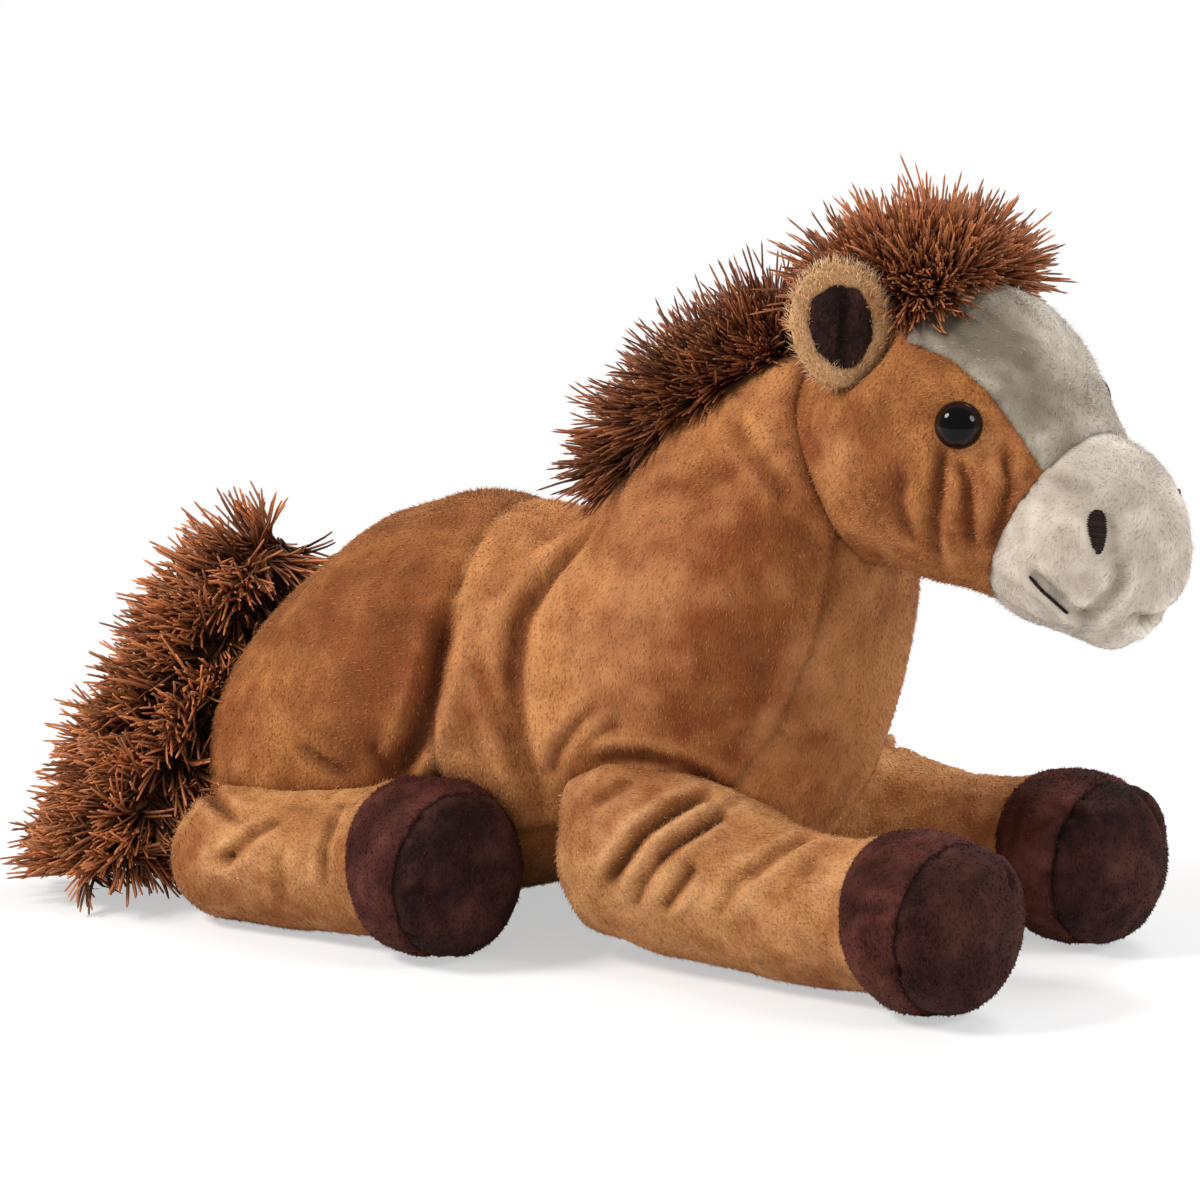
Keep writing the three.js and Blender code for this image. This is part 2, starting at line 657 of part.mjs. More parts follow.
// Long pile: ragged all over, short at its sides and full along the middle.
const maneRiseShares = [0.55, 0.8, 0.95, 1, 1, 1];
const forelockRiseShares = [0.75, 0.95, 1, 0.95, 0.8, 0.55, 0.25];
const pile = (height, riseShares) => (i, j, rows, columns) => {
  const rise = riseShares[Math.round((i / rows) * (riseShares.length - 1))];
  const edge = j % columns ? 1 : 0.3;
  return -height * rise * edge * ((i + j) % 2 ? 1 : 0.74);
};
const forelock = (grid, ...depths) =>
  panel(head, ...forelockRowShares, mirrored(forelockTurn), forelockTurn, grid, ...depths);
// Its room is wider than it is, by a share of a row and a few degrees on each side.
const forelockEdgeShare = 0.4;
const forelockEdgeTurn = 8;
const headWhole = solidOf(stuffing(head, 0, tipRow, -swingGap, roomFacetShares));
const forelockWhole = solidOf(panel(
  head, forelockRowShares[0] - forelockEdgeShare, forelockRowShares[1] + forelockEdgeShare,
  mirrored(forelockTurn) - forelockEdgeTurn, forelockTurn + forelockEdgeTurn,
  forelockFacetShares, -forelockPile - 2 * swingGap, 0));
const headRoom = sweep(
  geometryFrom(headWhole.add(forelockWhole).add(earRoom)), headPivot, headAxis, -headSwing, headSwing, 6);
const trunkFace = solidOf(stuffing(trunk, 0, neckRow, -seatGap, trunkFacetShares));
const headFace = solidOf(stuffing(head, 0, tipRow, -seatGap, headFacetShares));
const trunkRoom = limbs.reduce((room, limb) => room.add(limb.room), headRoom).add(tailRoom);
const cut = (geometry) => solidOf(geometry).subtract(trunkRoom);
add("trunk_fill", cut(stuffing(trunk, 0, neckRow, clothThickness + padGap, trunkFacetShares)), "filling");
for (const [side, mirror] of [["right", 1], ["left", -1]]) {
  const turn = (t) => backTurn + mirror * (t - backTurn);
  const [t0, t1] = [turn(backTurn), turn(bellyRightTurn)].sort((a, b) => a - b);
  add("hindquarter_" + side, cut(panel(trunk, 0, hindSeamRowShare, t0, t1, trunkFacetShares)), "tan");
  add("side_panel_" + side, cut(panel(trunk, hindSeamRowShare, neckRow, t0, t1, trunkFacetShares)), "tan");
}
add("belly_panel",
  cut(panel(trunk, 0, chestSeamRowShare, bellyRightTurn, bellyLeftTurn, trunkFacetShares)), "tan");
add("chest_gusset",
  cut(panel(trunk, chestSeamRowShare, neckRow, bellyRightTurn, bellyLeftTurn, trunkFacetShares)), "tan");
add("mane",
  cut(panel(trunk, ...maneRowShares, mirrored(maneTurn), maneTurn, maneFacetShares,
    pile(manePile, maneRiseShares), clothThickness / 2)).subtract(trunkFace), "mane");

const cheekTopTurn = 140;
const cheekLowTurn = 250;
const muzzleTopTurn = 140;
const muzzleLowTurn = 230;
const eyeDepth = 0.8;
const eyes = [["right", eyeSpotShare[1]], ["left", mirrored(eyeSpotShare[1])]].map(([side, turn]) => ({
  side,
  place: standOn(head, eyeSpotShare[0], turn, eyeDepth),
  washerPlace: standOn(head, eyeSpotShare[0], turn, clothThickness + padGap + eyeDepth),
}));
const headCut = eyes.reduce(
  (room, eye) => room
    .add(solidOf(eyeGeometry(seatGap).applyMatrix4(eye.place)))
    .add(solidOf(washerGeometry(seatGap).applyMatrix4(eye.washerPlace))),
  earRoom,
);
const trim = (geometry) => solidOf(geometry).subtract(headCut);
add("head_fill", trim(stuffing(head, 0, tipRow, clothThickness + padGap, headFacetShares)), "filling");
const onHead = (name, s0, s1, t0, t1, look) =>
  add(name, trim(panel(head, s0, s1, t0, t1, headFacetShares)), look);
onHead("cheek_right", 0, muzzleRowShare, cheekTopTurn, cheekLowTurn, "tan");
onHead("cheek_left", 0, muzzleRowShare, mirrored(cheekLowTurn), mirrored(cheekTopTurn), "tan");
onHead("crown_gusset", 0, browRowShare, mirrored(cheekTopTurn), cheekTopTurn, "tan");
onHead("blaze_gusset", browRowShare, muzzleRowShare, mirrored(cheekTopTurn), cheekTopTurn, "cream");
onHead("jaw_gusset", 0, muzzleRowShare, cheekLowTurn, mirrored(cheekLowTurn) + 360, "tan");
onHead("muzzle_bridge", muzzleRowShare, tipRow, mirrored(muzzleTopTurn), muzzleTopTurn, "cream");
onHead("muzzle_side_right", muzzleRowShare, tipRow, muzzleTopTurn, muzzleLowTurn, "cream");
onHead("muzzle_side_left", muzzleRowShare, tipRow, mirrored(muzzleLowTurn), mirrored(muzzleTopTurn), "cream");
onHead("chin", muzzleRowShare, tipRow, muzzleLowTurn, mirrored(muzzleLowTurn) + 360, "cream");
add("forelock",
  solidOf(forelock(forelockFacetShares, pile(forelockPile, forelockRiseShares), clothThickness / 2))
    .subtract(headFace).subtract(earRoom), "mane");
for (const { side, place, washerPlace } of eyes) {
  add("eye_" + side, solidOf(eyeGeometry(0).applyMatrix4(place)), "eye");
  add("eye_washer_" + side, solidOf(washerGeometry(0).applyMatrix4(washerPlace)), "washer");
  const turned = (turn) => (side === "right" ? turn : mirrored(turn));
  add("nostril_" + side,
    solidOf(patch(head, [nostrilSpotShare[0], turned(nostrilSpotShare[1])],
      nostrilHeight, nostrilWidth, side === "right" ? nostrilLean : -nostrilLean,
      stitchThickness)).subtract(headFace), "thread");
  const line = mouthShares.map(([s, turn]) => [s, turned(turn)]);
  add("mouth_stitch_" + side,
    solidOf(stitches(head, line, stitchThickness)).subtract(headFace), "thread");
}

// The origin stands in the middle of the flat seat, where the belly rests.
const seatXShare = -0.37;
horse.position.x = -seatXShare * trunkLength;

export default horse;
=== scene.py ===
import math

import bpy
import bmesh
import numpy as np
from mathutils import Matrix, Vector, noise
from mathutils.bvhtree import BVHTree


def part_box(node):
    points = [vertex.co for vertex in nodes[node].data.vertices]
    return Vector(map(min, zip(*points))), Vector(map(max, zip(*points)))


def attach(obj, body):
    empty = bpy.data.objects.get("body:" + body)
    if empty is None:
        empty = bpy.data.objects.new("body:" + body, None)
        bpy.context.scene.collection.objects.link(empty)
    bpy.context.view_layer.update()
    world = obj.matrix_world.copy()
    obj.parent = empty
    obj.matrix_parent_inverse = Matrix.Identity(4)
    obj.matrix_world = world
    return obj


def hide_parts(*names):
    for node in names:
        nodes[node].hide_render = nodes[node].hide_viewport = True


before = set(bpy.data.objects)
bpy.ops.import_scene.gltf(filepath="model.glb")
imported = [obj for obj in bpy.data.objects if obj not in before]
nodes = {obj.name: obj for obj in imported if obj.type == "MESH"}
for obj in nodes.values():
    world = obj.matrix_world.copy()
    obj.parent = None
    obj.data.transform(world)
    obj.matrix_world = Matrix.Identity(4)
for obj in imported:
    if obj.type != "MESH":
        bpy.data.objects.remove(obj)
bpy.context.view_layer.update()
print("frame loaded:", len(nodes), "nodes")

mm = 0.001
tiny = 1e-9
weld = 0.001 * mm
legNames = ["front_leg_right", "front_leg_left", "hind_leg_right", "hind_leg_left"]


# Small helpers

def makeActive(obj):
    for other in bpy.context.selected_objects:
        other.select_set(False)
    obj.select_set(True)
    bpy.context.view_layer.objects.active = obj


def applyModifier(obj, kind, **values):
    makeActive(obj)
    bpy.ops.object.modifier_add(type=kind)
    modifier = obj.modifiers[-1]
    for key, value in values.items():
        setattr(modifier, key, value)
    bpy.ops.object.modifier_apply(modifier=modifier.name)


def shadeSmooth(obj):
    makeActive(obj)
    bpy.ops.object.shade_smooth()


def fetched(items, key, width, kind=float):
    values = np.empty(len(items) * width, dtype=kind)
    items.foreach_get(key, values)
    return values.reshape(-1, width)


def linked(name, mesh):
    piece = bpy.data.objects.new(name, mesh)
    bpy.context.scene.collection.objects.link(piece)
    return piece


def newPiece(name, verts, faces):
    mesh = bpy.data.meshes.new(name)
    mesh.from_pydata([tuple(v) for v in verts], [], [tuple(int(i) for i in f) for f in faces])
    mesh.update()
    return linked(name, mesh)


def opened(obj):
    build = bmesh.new()
    build.from_mesh(obj.data)
    build.verts.ensure_lookup_table()
    build.faces.ensure_lookup_table()
    return build


def closed(build, name):
    mesh = bpy.data.meshes.new(name)
    build.to_mesh(mesh)
    build.free()
    return linked(name, mesh)


def joinedCopy(name, nodeNames):
    build = bmesh.new()
    for nodeName in nodeNames:
        build.from_mesh(nodes[nodeName].data)
    bmesh.ops.remove_doubles(build, verts=build.verts, dist=weld)
    return closed(build, name)


def vertexArray(obj):
    return fetched(obj.data.vertices, "co", 3)


def normalArray(obj):
    return fetched(obj.data.vertices, "normal", 3)


def triangleArray(obj):
    obj.data.calc_loop_triangles()
    return fetched(obj.data.loop_triangles, "vertices", 3, np.int32)


def setVertices(obj, points):
    obj.data.vertices.foreach_set("co", np.ascontiguousarray(points).ravel())
    obj.data.update()


def setAttribute(obj, name, values):
    attribute = obj.data.attributes.get(name) or obj.data.attributes.new(name, "FLOAT", "POINT")
    attribute.data.foreach_set("value", np.ascontiguousarray(values, dtype=np.float32))


def getAttribute(obj, name):
    values = np.zeros(len(obj.data.vertices), dtype=np.float32)
    if obj.data.attributes.get(name):
        obj.data.attributes[name].data.foreach_get("value", values)
    return values


def unit(vectors):
    return vectors / np.maximum(np.linalg.norm(vectors, axis=-1, keepdims=True), tiny)


def skinTree(*skins):
    verts, faces = [], []
    for skin in skins:
        first = len(verts)
        verts.extend(v.co.copy() for v in skin.data.vertices)
        faces.extend([first + i for i in p.vertices] for p in skin.data.polygons)
    return BVHTree.FromPolygons(verts, faces)


def treeOf(nodeNames):
    return skinTree(*[nodes[nodeName] for nodeName in nodeNames])


def distances(tree, points):
    return np.array([tree.find_nearest(Vector(point))[3] for point in points])


def outside(tree, points, margin):
    # True where a point stands at least this far outside a closed skin.
    found = np.ones(len(points), dtype=bool)
    for i, point in enumerate(points):
        place, normal, _, _ = tree.find_nearest(Vector(point))
        found[i] = (Vector(point) - place).dot(normal) > margin
    return found


def keepLargest(obj):
    build = opened(obj)
    seen = np.zeros(len(build.verts), dtype=bool)
    islands = []
    for start in build.verts:
        if seen[start.index]:
            continue
        seen[start.index] = True
        stack, island = [start], []
        while stack:
            vert = stack.pop()
            island.append(vert)
            for edge in vert.link_edges:
                other = edge.other_vert(vert)
                if not seen[other.index]:
                    seen[other.index] = True
                    stack.append(other)
        islands.append(island)
    islands.sort(key=len)
    for island in islands[:-1]:
        bmesh.ops.delete(build, geom=island, context="VERTS")
    build.to_mesh(obj.data)
    build.free()


smoothing = 0.5


def stuffedForm(name, nodeNames, voxel, rounds):
    # One closed, rounded form over the CAD solids: the seam gaps close and the facets melt away.
    form = joinedCopy(name, nodeNames)
    applyModifier(form, "REMESH", mode="VOXEL", voxel_size=voxel)
    keepLargest(form)
    applyModifier(form, "SMOOTH", factor=smoothing, iterations=rounds)
    return form


noiseSteps = (3.7, 1.3, 2.1)


def smoothNoise(points, scale, seed):
    shift = Vector([seed * step for step in noiseSteps])
    return np.array([noise.noise(Vector(p) / scale + shift) for p in points])


def panelField(points, groups):
    # The nearest panel of each point, and how far it lies from the seam to the next one.
    far = np.stack([distances(treeOf(names), points) for names in groups], axis=1)
    order = np.sort(far, axis=1)
    return far.argmin(axis=1), order[:, 1] - order[:, 0]


def spreadOut(form, values, rounds):
    # Averages a value over neighbouring points.
    a, b = fetched(form.data.edges, "vertices", 2, np.int32).T
    count = np.bincount(a, minlength=len(values)) + np.bincount(b, minlength=len(values)) + 1
    for _ in range(rounds):
        total = values + np.bincount(a, values[b], len(values))
        values = (total + np.bincount(b, values[a], len(values))) / count
    return values


def closeGap(form, other, look):
    # Cloth lies against cloth: where two forms face each other, both swell into the gap.
    moves = []
    for own, neighbour in ((form, other), (other, form)):
        points, normals, tree = vertexArray(own), normalArray(own), skinTree(neighbour)
        shift = np.zeros(len(points))
        for i, point in enumerate(points):
            place, _, _, gap = tree.find_nearest(Vector(point), look["reach"])
            if place is None or gap < look["touching"]:
                continue
            facing = (np.array(place) - point) @ normals[i] / gap
            if facing > look["leastFacing"]:
                near = min(1.0, look["nearGain"] * (1 - gap / look["reach"]))
                swell = min(gap / 2 + look["lap"], look["most"])
                shift[i] = swell * near * min(1, facing * look["facingGain"])
        moves.append((own, points, normals, spreadOut(own, shift, look["spread"])))
    for own, points, normals, shift in moves:
        setVertices(own, points + normals * shift[:, None])


def lineDistance(points, line):
    # How far each point lies from a line of points, and how far along the line that is, from 0 to 1.
    steps = np.linalg.norm(np.diff(line, axis=0), axis=1)
    run = np.concatenate([[0], np.cumsum(steps)]) / steps.sum()
    best, along = np.full(len(points), np.inf), np.zeros(len(points))
    for k, (a, b) in enumerate(zip(line[:-1], line[1:])):
        step = b - a
        t = np.clip(((points - a) @ step) / (step @ step), 0, 1)
        away = np.linalg.norm(points - (a + t[:, None] * step), axis=1)
        closer = away < best
        best[closer] = away[closer]
        along[closer] = (run[k] + t * (run[k + 1] - run[k]))[closer]
    return best, along


foldShape = {"fade": 8, "end": 0.25, "roll": 0.4, "rollAt": 2.1}


def creased(points, creases, place):
    # Depth of the folds: a groove that fades at its ends, with a soft roll of cloth on each side.
    depth = np.zeros(len(points))
    for line, deep, wide in creases:
        away, along = lineDistance(points, place(np.array(line, dtype=float) * mm))
        t = away / (wide * mm)
        fade = np.clip(foldShape["fade"] * along * (1 - along) + foldShape["end"], 0, 1)
        roll = foldShape["roll"] * np.exp(-(t - foldShape["rollAt"]) ** 2)
        depth += deep * mm * fade * (np.exp(-t * t) - roll)
    return depth


def mounded(points, mounds, place):
    # Height of the places where the filling pushes the cloth out.
    rise = np.zeros(len(points))
    for centre, wide, high in mounds:
        middle = place(np.array([centre], dtype=float) * mm)[0]
        away = np.linalg.norm(points - middle, axis=1) / (wide * mm)
        rise += high * mm * np.exp(-away ** 2)
    return rise


clothLook = {"frames": 15, "quality": 4, "tension": 15, "bending": 0.5, "pinSteps": 4}


def puffed(form, pinned, pressure, cap):
    # Air pressure fills the cloth between its pinned seams; a cap keeps it near its pattern.
    start = vertexArray(form)
    group = form.vertex_groups.new(name="pinned")
    steps = clothLook["pinSteps"]
    for step in range(1, steps + 1):
        chosen = np.where((pinned * steps > step - 0.5) & (pinned * steps <= step + 0.5))[0]
        group.add([int(i) for i in chosen], step / steps, "REPLACE")
    makeActive(form)
    bpy.ops.object.modifier_add(type="CLOTH")
    cloth = form.modifiers[-1]
    cloth.settings.use_pressure = True
    cloth.settings.uniform_pressure_force = pressure
    cloth.settings.effector_weights.gravity = 0
    cloth.settings.vertex_group_mass = "pinned"
    cloth.settings.quality = clothLook["quality"]
    cloth.settings.tension_stiffness = clothLook["tension"]
    cloth.settings.bending_stiffness = clothLook["bending"]
    cloth.collision_settings.use_collision = False
    scene = bpy.context.scene
    for step in range(1, clothLook["frames"] + 1):
        scene.frame_set(step)
    bpy.ops.object.modifier_apply(modifier=cloth.name)
    scene.frame_set(1)
    moved = vertexArray(form) - start
    length = np.linalg.norm(moved, axis=1, keepdims=True)
    moved *= np.minimum(1, cap / np.maximum(length, tiny))
    setVertices(form, start + moved)
    form.vertex_groups.clear()


def splitForm(form, label, border, seamShade, names):
    # Cuts a form into its panels: the points next to a seam move onto it, then the faces part.
    applyModifier(form, "TRIANGULATE")
    points = vertexArray(form)
    build = opened(form)
    onSeam = np.zeros(len(points), dtype=bool)
    for edge in build.edges:
        a, b = edge.verts[0].index, edge.verts[1].index
        if label[a] == label[b] or onSeam[a] or onSeam[b]:
            continue
        t = border[a] / max(border[a] + border[b], tiny)
        near = a if t < 0.5 else b
        build.verts[near].co = points[a] + (points[b] - points[a]) * t
        onSeam[near] = True
    faceLabel = []
    for face in build.faces:
        inside = [label[v.index] for v in face.verts if not onSeam[v.index]]
        faceLabel.append(max(set(inside), key=inside.count) if inside else label[face.verts[0].index])
    build.to_mesh(form.data)
    build.free()
    # Points on a seam are drawn darker: partly a dark seam line, partly painted shade in its groove.
    setAttribute(form, "seam", np.maximum(getAttribute(form, "seam"), onSeam * seamShade))
    pieces = {}
    for k, name in enumerate(names):
        build = opened(form)
        unwanted = [f for f in build.faces if faceLabel[f.index] != k]
        bmesh.ops.delete(build, geom=unwanted, context="FACES")
        pieces[name] = closed(build, name)
        keepLargest(pieces[name])
    bpy.data.objects.remove(form)
    return pieces


def backed(piece, thickness):
    applyModifier(piece, "SOLIDIFY", thickness=thickness, offset=-1, use_rim=True)


# Pile: short plush tufts and long strands, all real mesh

def scatter(piece, spacing, seed):
    points, normals, triangles = vertexArray(piece), normalArray(piece), triangleArray(piece)
    rng = np.random.default_rng(seed)
    a, b, c = (points[triangles[:, k]] for k in range(3))
    area = np.linalg.norm(np.cross(b - a, c - a), axis=1) / 2
    share = area / spacing ** 2
    count = np.floor(share + rng.random(len(share))).astype(int)
    which = np.repeat(np.arange(len(triangles)), count)
    u, v = rng.random(len(which)), rng.random(len(which))
    flip = u + v > 1
    u[flip], v[flip] = 1 - u[flip], 1 - v[flip]
    weights = np.stack([1 - u - v, u, v], axis=1)
    corners = triangles[which]
    roots = (points[corners] * weights[:, :, None]).sum(axis=1)
    facing = unit((normals[corners] * weights[:, :, None]).sum(axis=1))
    # The tufts carry the dark seams and painted light and shade of the cloth where they stand.
    paintedShading = [(getAttribute(piece, key)[corners] * weights).sum(axis=1) for key in ("seam", "paintedLightAndShade")]
    return roots, facing, np.stack(paintedShading, axis=1)


def frameOf(direction, rng):
    side = unit(np.cross(direction, unit(rng.normal(size=direction.shape))))
    return side, np.cross(direction, side)


def brushed(points, direction, swirl, scale, seed):
    # The way the pile was last stroked: one main direction with slow swirls.
    comb = np.tile(np.array(direction, dtype=float), (len(points), 1))
    for k in range(3):
        comb[:, k] += swirl * smoothNoise(points, scale, seed + k)
    return unit(comb)


tuftShape = {"shortest": 0.6, "longer": 0.8, "rootDepth": 0.1, "rootTip": 0.2}
lowest = 0.3 * mm


def addTufts(piece, roots, facing, paintedShading, comb, look, seed):
    # Each tuft is a slim closed tetrahedron that leans the way the pile is brushed.
    rng = np.random.default_rng(seed)
    amount = len(roots)
    comb = comb - facing * (comb * facing).sum(axis=1, keepdims=True)
    direction = unit(facing * (1 - look["lean"]) + comb * look["lean"]
                     + rng.normal(size=(amount, 3)) * look["jitter"])
    share = tuftShape["shortest"] + tuftShape["longer"] * rng.random(amount)
    length = look["length"] * share[:, None]
    side, across = frameOf(direction, rng)
    base = roots - facing * look["length"] * tuftShape["rootDepth"]
    corners = []
    for k in range(3):
        angle = 2 * math.pi * k / 3
        corners.append(base + (side * math.cos(angle) + across * math.sin(angle)) * look["radius"])
    tips = base + direction * length
    tips[:, 2] = np.maximum(tips[:, 2], lowest)
    verts = np.stack(corners + [tips], axis=1).reshape(-1, 3)
    first = np.arange(amount)[:, None] * 4
    pattern = np.array([[0, 1, 3], [1, 2, 3], [2, 0, 3], [0, 2, 1]])
    faces = (first[:, None, :] + pattern[None]).reshape(-1, 3)
    tip = np.tile([tuftShape["rootTip"]] * 3 + [1.0], amount)
    tone = np.repeat(rng.random(amount), 4)
    extend(piece, verts, faces, tip, tone, np.repeat(paintedShading, 4, axis=0))


def addStrands(piece, roots, direction, length, look, seed):
    # Long pile: locks of bent fibres, each with a triangular section and a blunt tip.
    rng = np.random.default_rng(seed)
    bunch, rings = look["bunch"], look["rings"]
    shortest, longer = look["lengths"]
    thick, swell, taper = look["girth"]
    amount = len(roots) * bunch
    rootsAll = np.repeat(roots, bunch, axis=0)
    bend = np.repeat(unit(rng.normal(size=roots.shape)), bunch, axis=0)
    dirAll = unit(np.repeat(direction, bunch, axis=0) + rng.normal(size=(amount, 3)) * look["fray"])
    lengthAll = (np.repeat(length, bunch) * (shortest + longer * rng.random(amount)))[:, None]
    side, across = frameOf(dirAll, rng)
    spread = rng.random((amount, 1)) ** 0.5 * look["bunchWidth"]
    turn = rng.random((amount, 1)) * 2 * math.pi
    away = side * np.cos(turn) * spread + across * np.sin(turn) * spread
    ownBend = look["ownBend"] * unit(rng.normal(size=(amount, 3)))
    curl = (bend + ownBend) * lengthAll * look["curl"]
    verts = np.empty((amount, rings * 3 + 1, 3))
    for i in range(rings + 1):
        t = 1 - (1 - i / rings) ** look["blunt"]
        centre = rootsAll + away * (1 - look["gather"] * t) + dirAll * lengthAll * t + curl * t * t
        if i == rings:
            verts[:, -1] = centre
            break
        radius = look["radius"] * (thick + swell * t - taper * t * t)
        for k in range(3):
            angle = 2 * math.pi * k / 3 + t * look["twist"]
            verts[:, i * 3 + k] = centre + (side * math.cos(angle) + across * math.sin(angle)) * radius
    verts[:, :, 2] = np.maximum(verts[:, :, 2], lowest)
    pattern = [[0, 2, 1]]
    for i in range(rings - 1):
        for k in range(3):
            m, low, high = (k + 1) % 3, i * 3, i * 3 + 3
            pattern += [[low + k, low + m, high + m], [low + k, high + m, high + k]]
    top = (rings - 1) * 3
    pattern += [[top + k, top + (k + 1) % 3, rings * 3] for k in range(3)]
    first = np.arange(amount)[:, None] * (rings * 3 + 1)
    faces = (first[:, None, :] + np.array(pattern)[None]).reshape(-1, 3)
    tip = np.tile([i / rings for i in range(rings) for _ in range(3)] + [1.0], amount)
    tone = np.repeat(rng.random(len(roots)), bunch) * look["lockTone"]
    tone += rng.random(amount) * (1 - look["lockTone"])
    extend(piece, verts.reshape(-1, 3), faces, tip, np.repeat(tone, rings * 3 + 1),
           np.tile([0.0, look["paintedLightAndShade"]], (len(tip), 1)))


middleTone = 0.5


def extend(piece, verts, faces, tip, tone, paintedShading):
    # Adds loose geometry to a piece and keeps its point attributes.
    mesh = piece.data
    had, hadLoops = len(mesh.vertices), len(mesh.loops)
    added = {"seam": paintedShading[:, 0], "paintedLightAndShade": paintedShading[:, 1], "tip": tip, "tone": tone}
    kept = {key: getAttribute(piece, key) for key in added}
    if not mesh.attributes.get("tone"):
        kept["tone"] = np.full(had, middleTone)
    mesh.vertices.add(len(verts))
    mesh.loops.add(len(faces) * 3)
    mesh.polygons.add(len(faces))
    starts = hadLoops + 3 * np.arange(len(faces))
    for items, key, new, kind in (
            (mesh.vertices, "co", verts, float),
            (mesh.loops, "vertex_index", (faces + had).reshape(-1, 1), np.int32),
            (mesh.polygons, "loop_start", starts.reshape(-1, 1), np.int32)):
        values = fetched(items, key, new.shape[1], kind)
        values[len(items) - len(new):] = new
        items.foreach_set(key, values.ravel())
    mesh.update(calc_edges=True)
    mesh.validate()
    for key, values in added.items():
        setAttribute(piece, key, np.concatenate([kept[key], values]))
    shadeSmooth(piece)


def finished(piece, body, material, replaced=()):
    piece.data.materials.clear()
    piece.data.materials.append(material)
    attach(piece, body)
    if replaced:
        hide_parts(*replaced)


# Materials

def nodeGroup(name, inputs, outputs):
    group = bpy.data.node_groups.new(name, "ShaderNodeTree")
    for label, kind, value in inputs:
        socket = group.interface.new_socket(label, in_out="INPUT", socket_type=kind)
        socket.default_value = value
    for label, kind in outputs:
        group.interface.new_socket(label, in_out="OUTPUT", socket_type=kind)
    return group, group.nodes.new("NodeGroupInput"), group.nodes.new("NodeGroupOutput")


def plug(tree, socket, value):
    if isinstance(value, bpy.types.NodeSocket):
        tree.links.new(value, socket)
    else:
        socket.default_value = value


def mixColour(tree, factor, a, b, mode="MIX"):
    mix = tree.nodes.new("ShaderNodeMix")
    mix.data_type = "RGBA"
    mix.blend_type = mode
    for socket, value in ((mix.inputs[0], factor), (mix.inputs[6], a), (mix.inputs[7], b)):
        plug(tree, socket, value)
    return mix.outputs[2]


def mathNode(tree, operation, a, b=0.0):
    node = tree.nodes.new("ShaderNodeMath")
    node.operation = operation
    plug(tree, node.inputs[0], a)
    plug(tree, node.inputs[1], b)
    return node.outputs[0]


def mapRange(tree, value, low, high, toLow=0.0, toHigh=1.0):
    node = tree.nodes.new("ShaderNodeMapRange")
    for socket, number in zip(node.inputs[1:5], (low, high, toLow, toHigh)):
        plug(tree, socket, number)
    tree.links.new(value, node.inputs[0])
    return node.outputs[0]


def noiseOf(tree, scale, detail=2.0, stretch=(1, 1, 1), distortion=0.0):
    place = tree.nodes.new("ShaderNodeTexCoord")
    mapping = tree.nodes.new("ShaderNodeMapping")
    plug(tree, mapping.inputs["Scale"], stretch)
    texture = tree.nodes.new("ShaderNodeTexNoise")
    plug(tree, texture.inputs["Scale"], scale)
    texture.inputs["Detail"].default_value = detail
    texture.inputs["Distortion"].default_value = distortion
    tree.links.new(place.outputs["Object"], mapping.inputs["Vector"])
    tree.links.new(mapping.outputs["Vector"], texture.inputs["Vector"])
    return texture.outputs["Fac"]


def attributeOf(tree, name):
    node = tree.nodes.new("ShaderNodeAttribute")
    node.attribute_name = name
    return node.outputs["Fac"]


def dimmed(tree, colour, level):
    grey = tree.nodes.new("ShaderNodeCombineColor")
    for socket in grey.inputs:
        tree.links.new(level, socket)
    return mixColour(tree, 1.0, colour, grey.outputs[0], "MULTIPLY")


toneShape = {
    "distortion": 0.7, "streakScale": 6.0, "streakStretch": (1, 1, 0.4), "streakDistortion": 0.5,
    "streakShare": 0.45, "grainStretch": (1, 1, 0.6), "patch": (0.58, 0.86), "pits": (0.52, 0.36),
    "pitLevel": 0.62, "laidShade": 0.9, "raisedSheen": 0.3, "glint": (0.94, 0.95), "glintLight": 0.85,
    "rootReach": 0.55, "seamAndShadeLevel": 0.25, "paintedLightLevel": (0.75, 1.3),
}


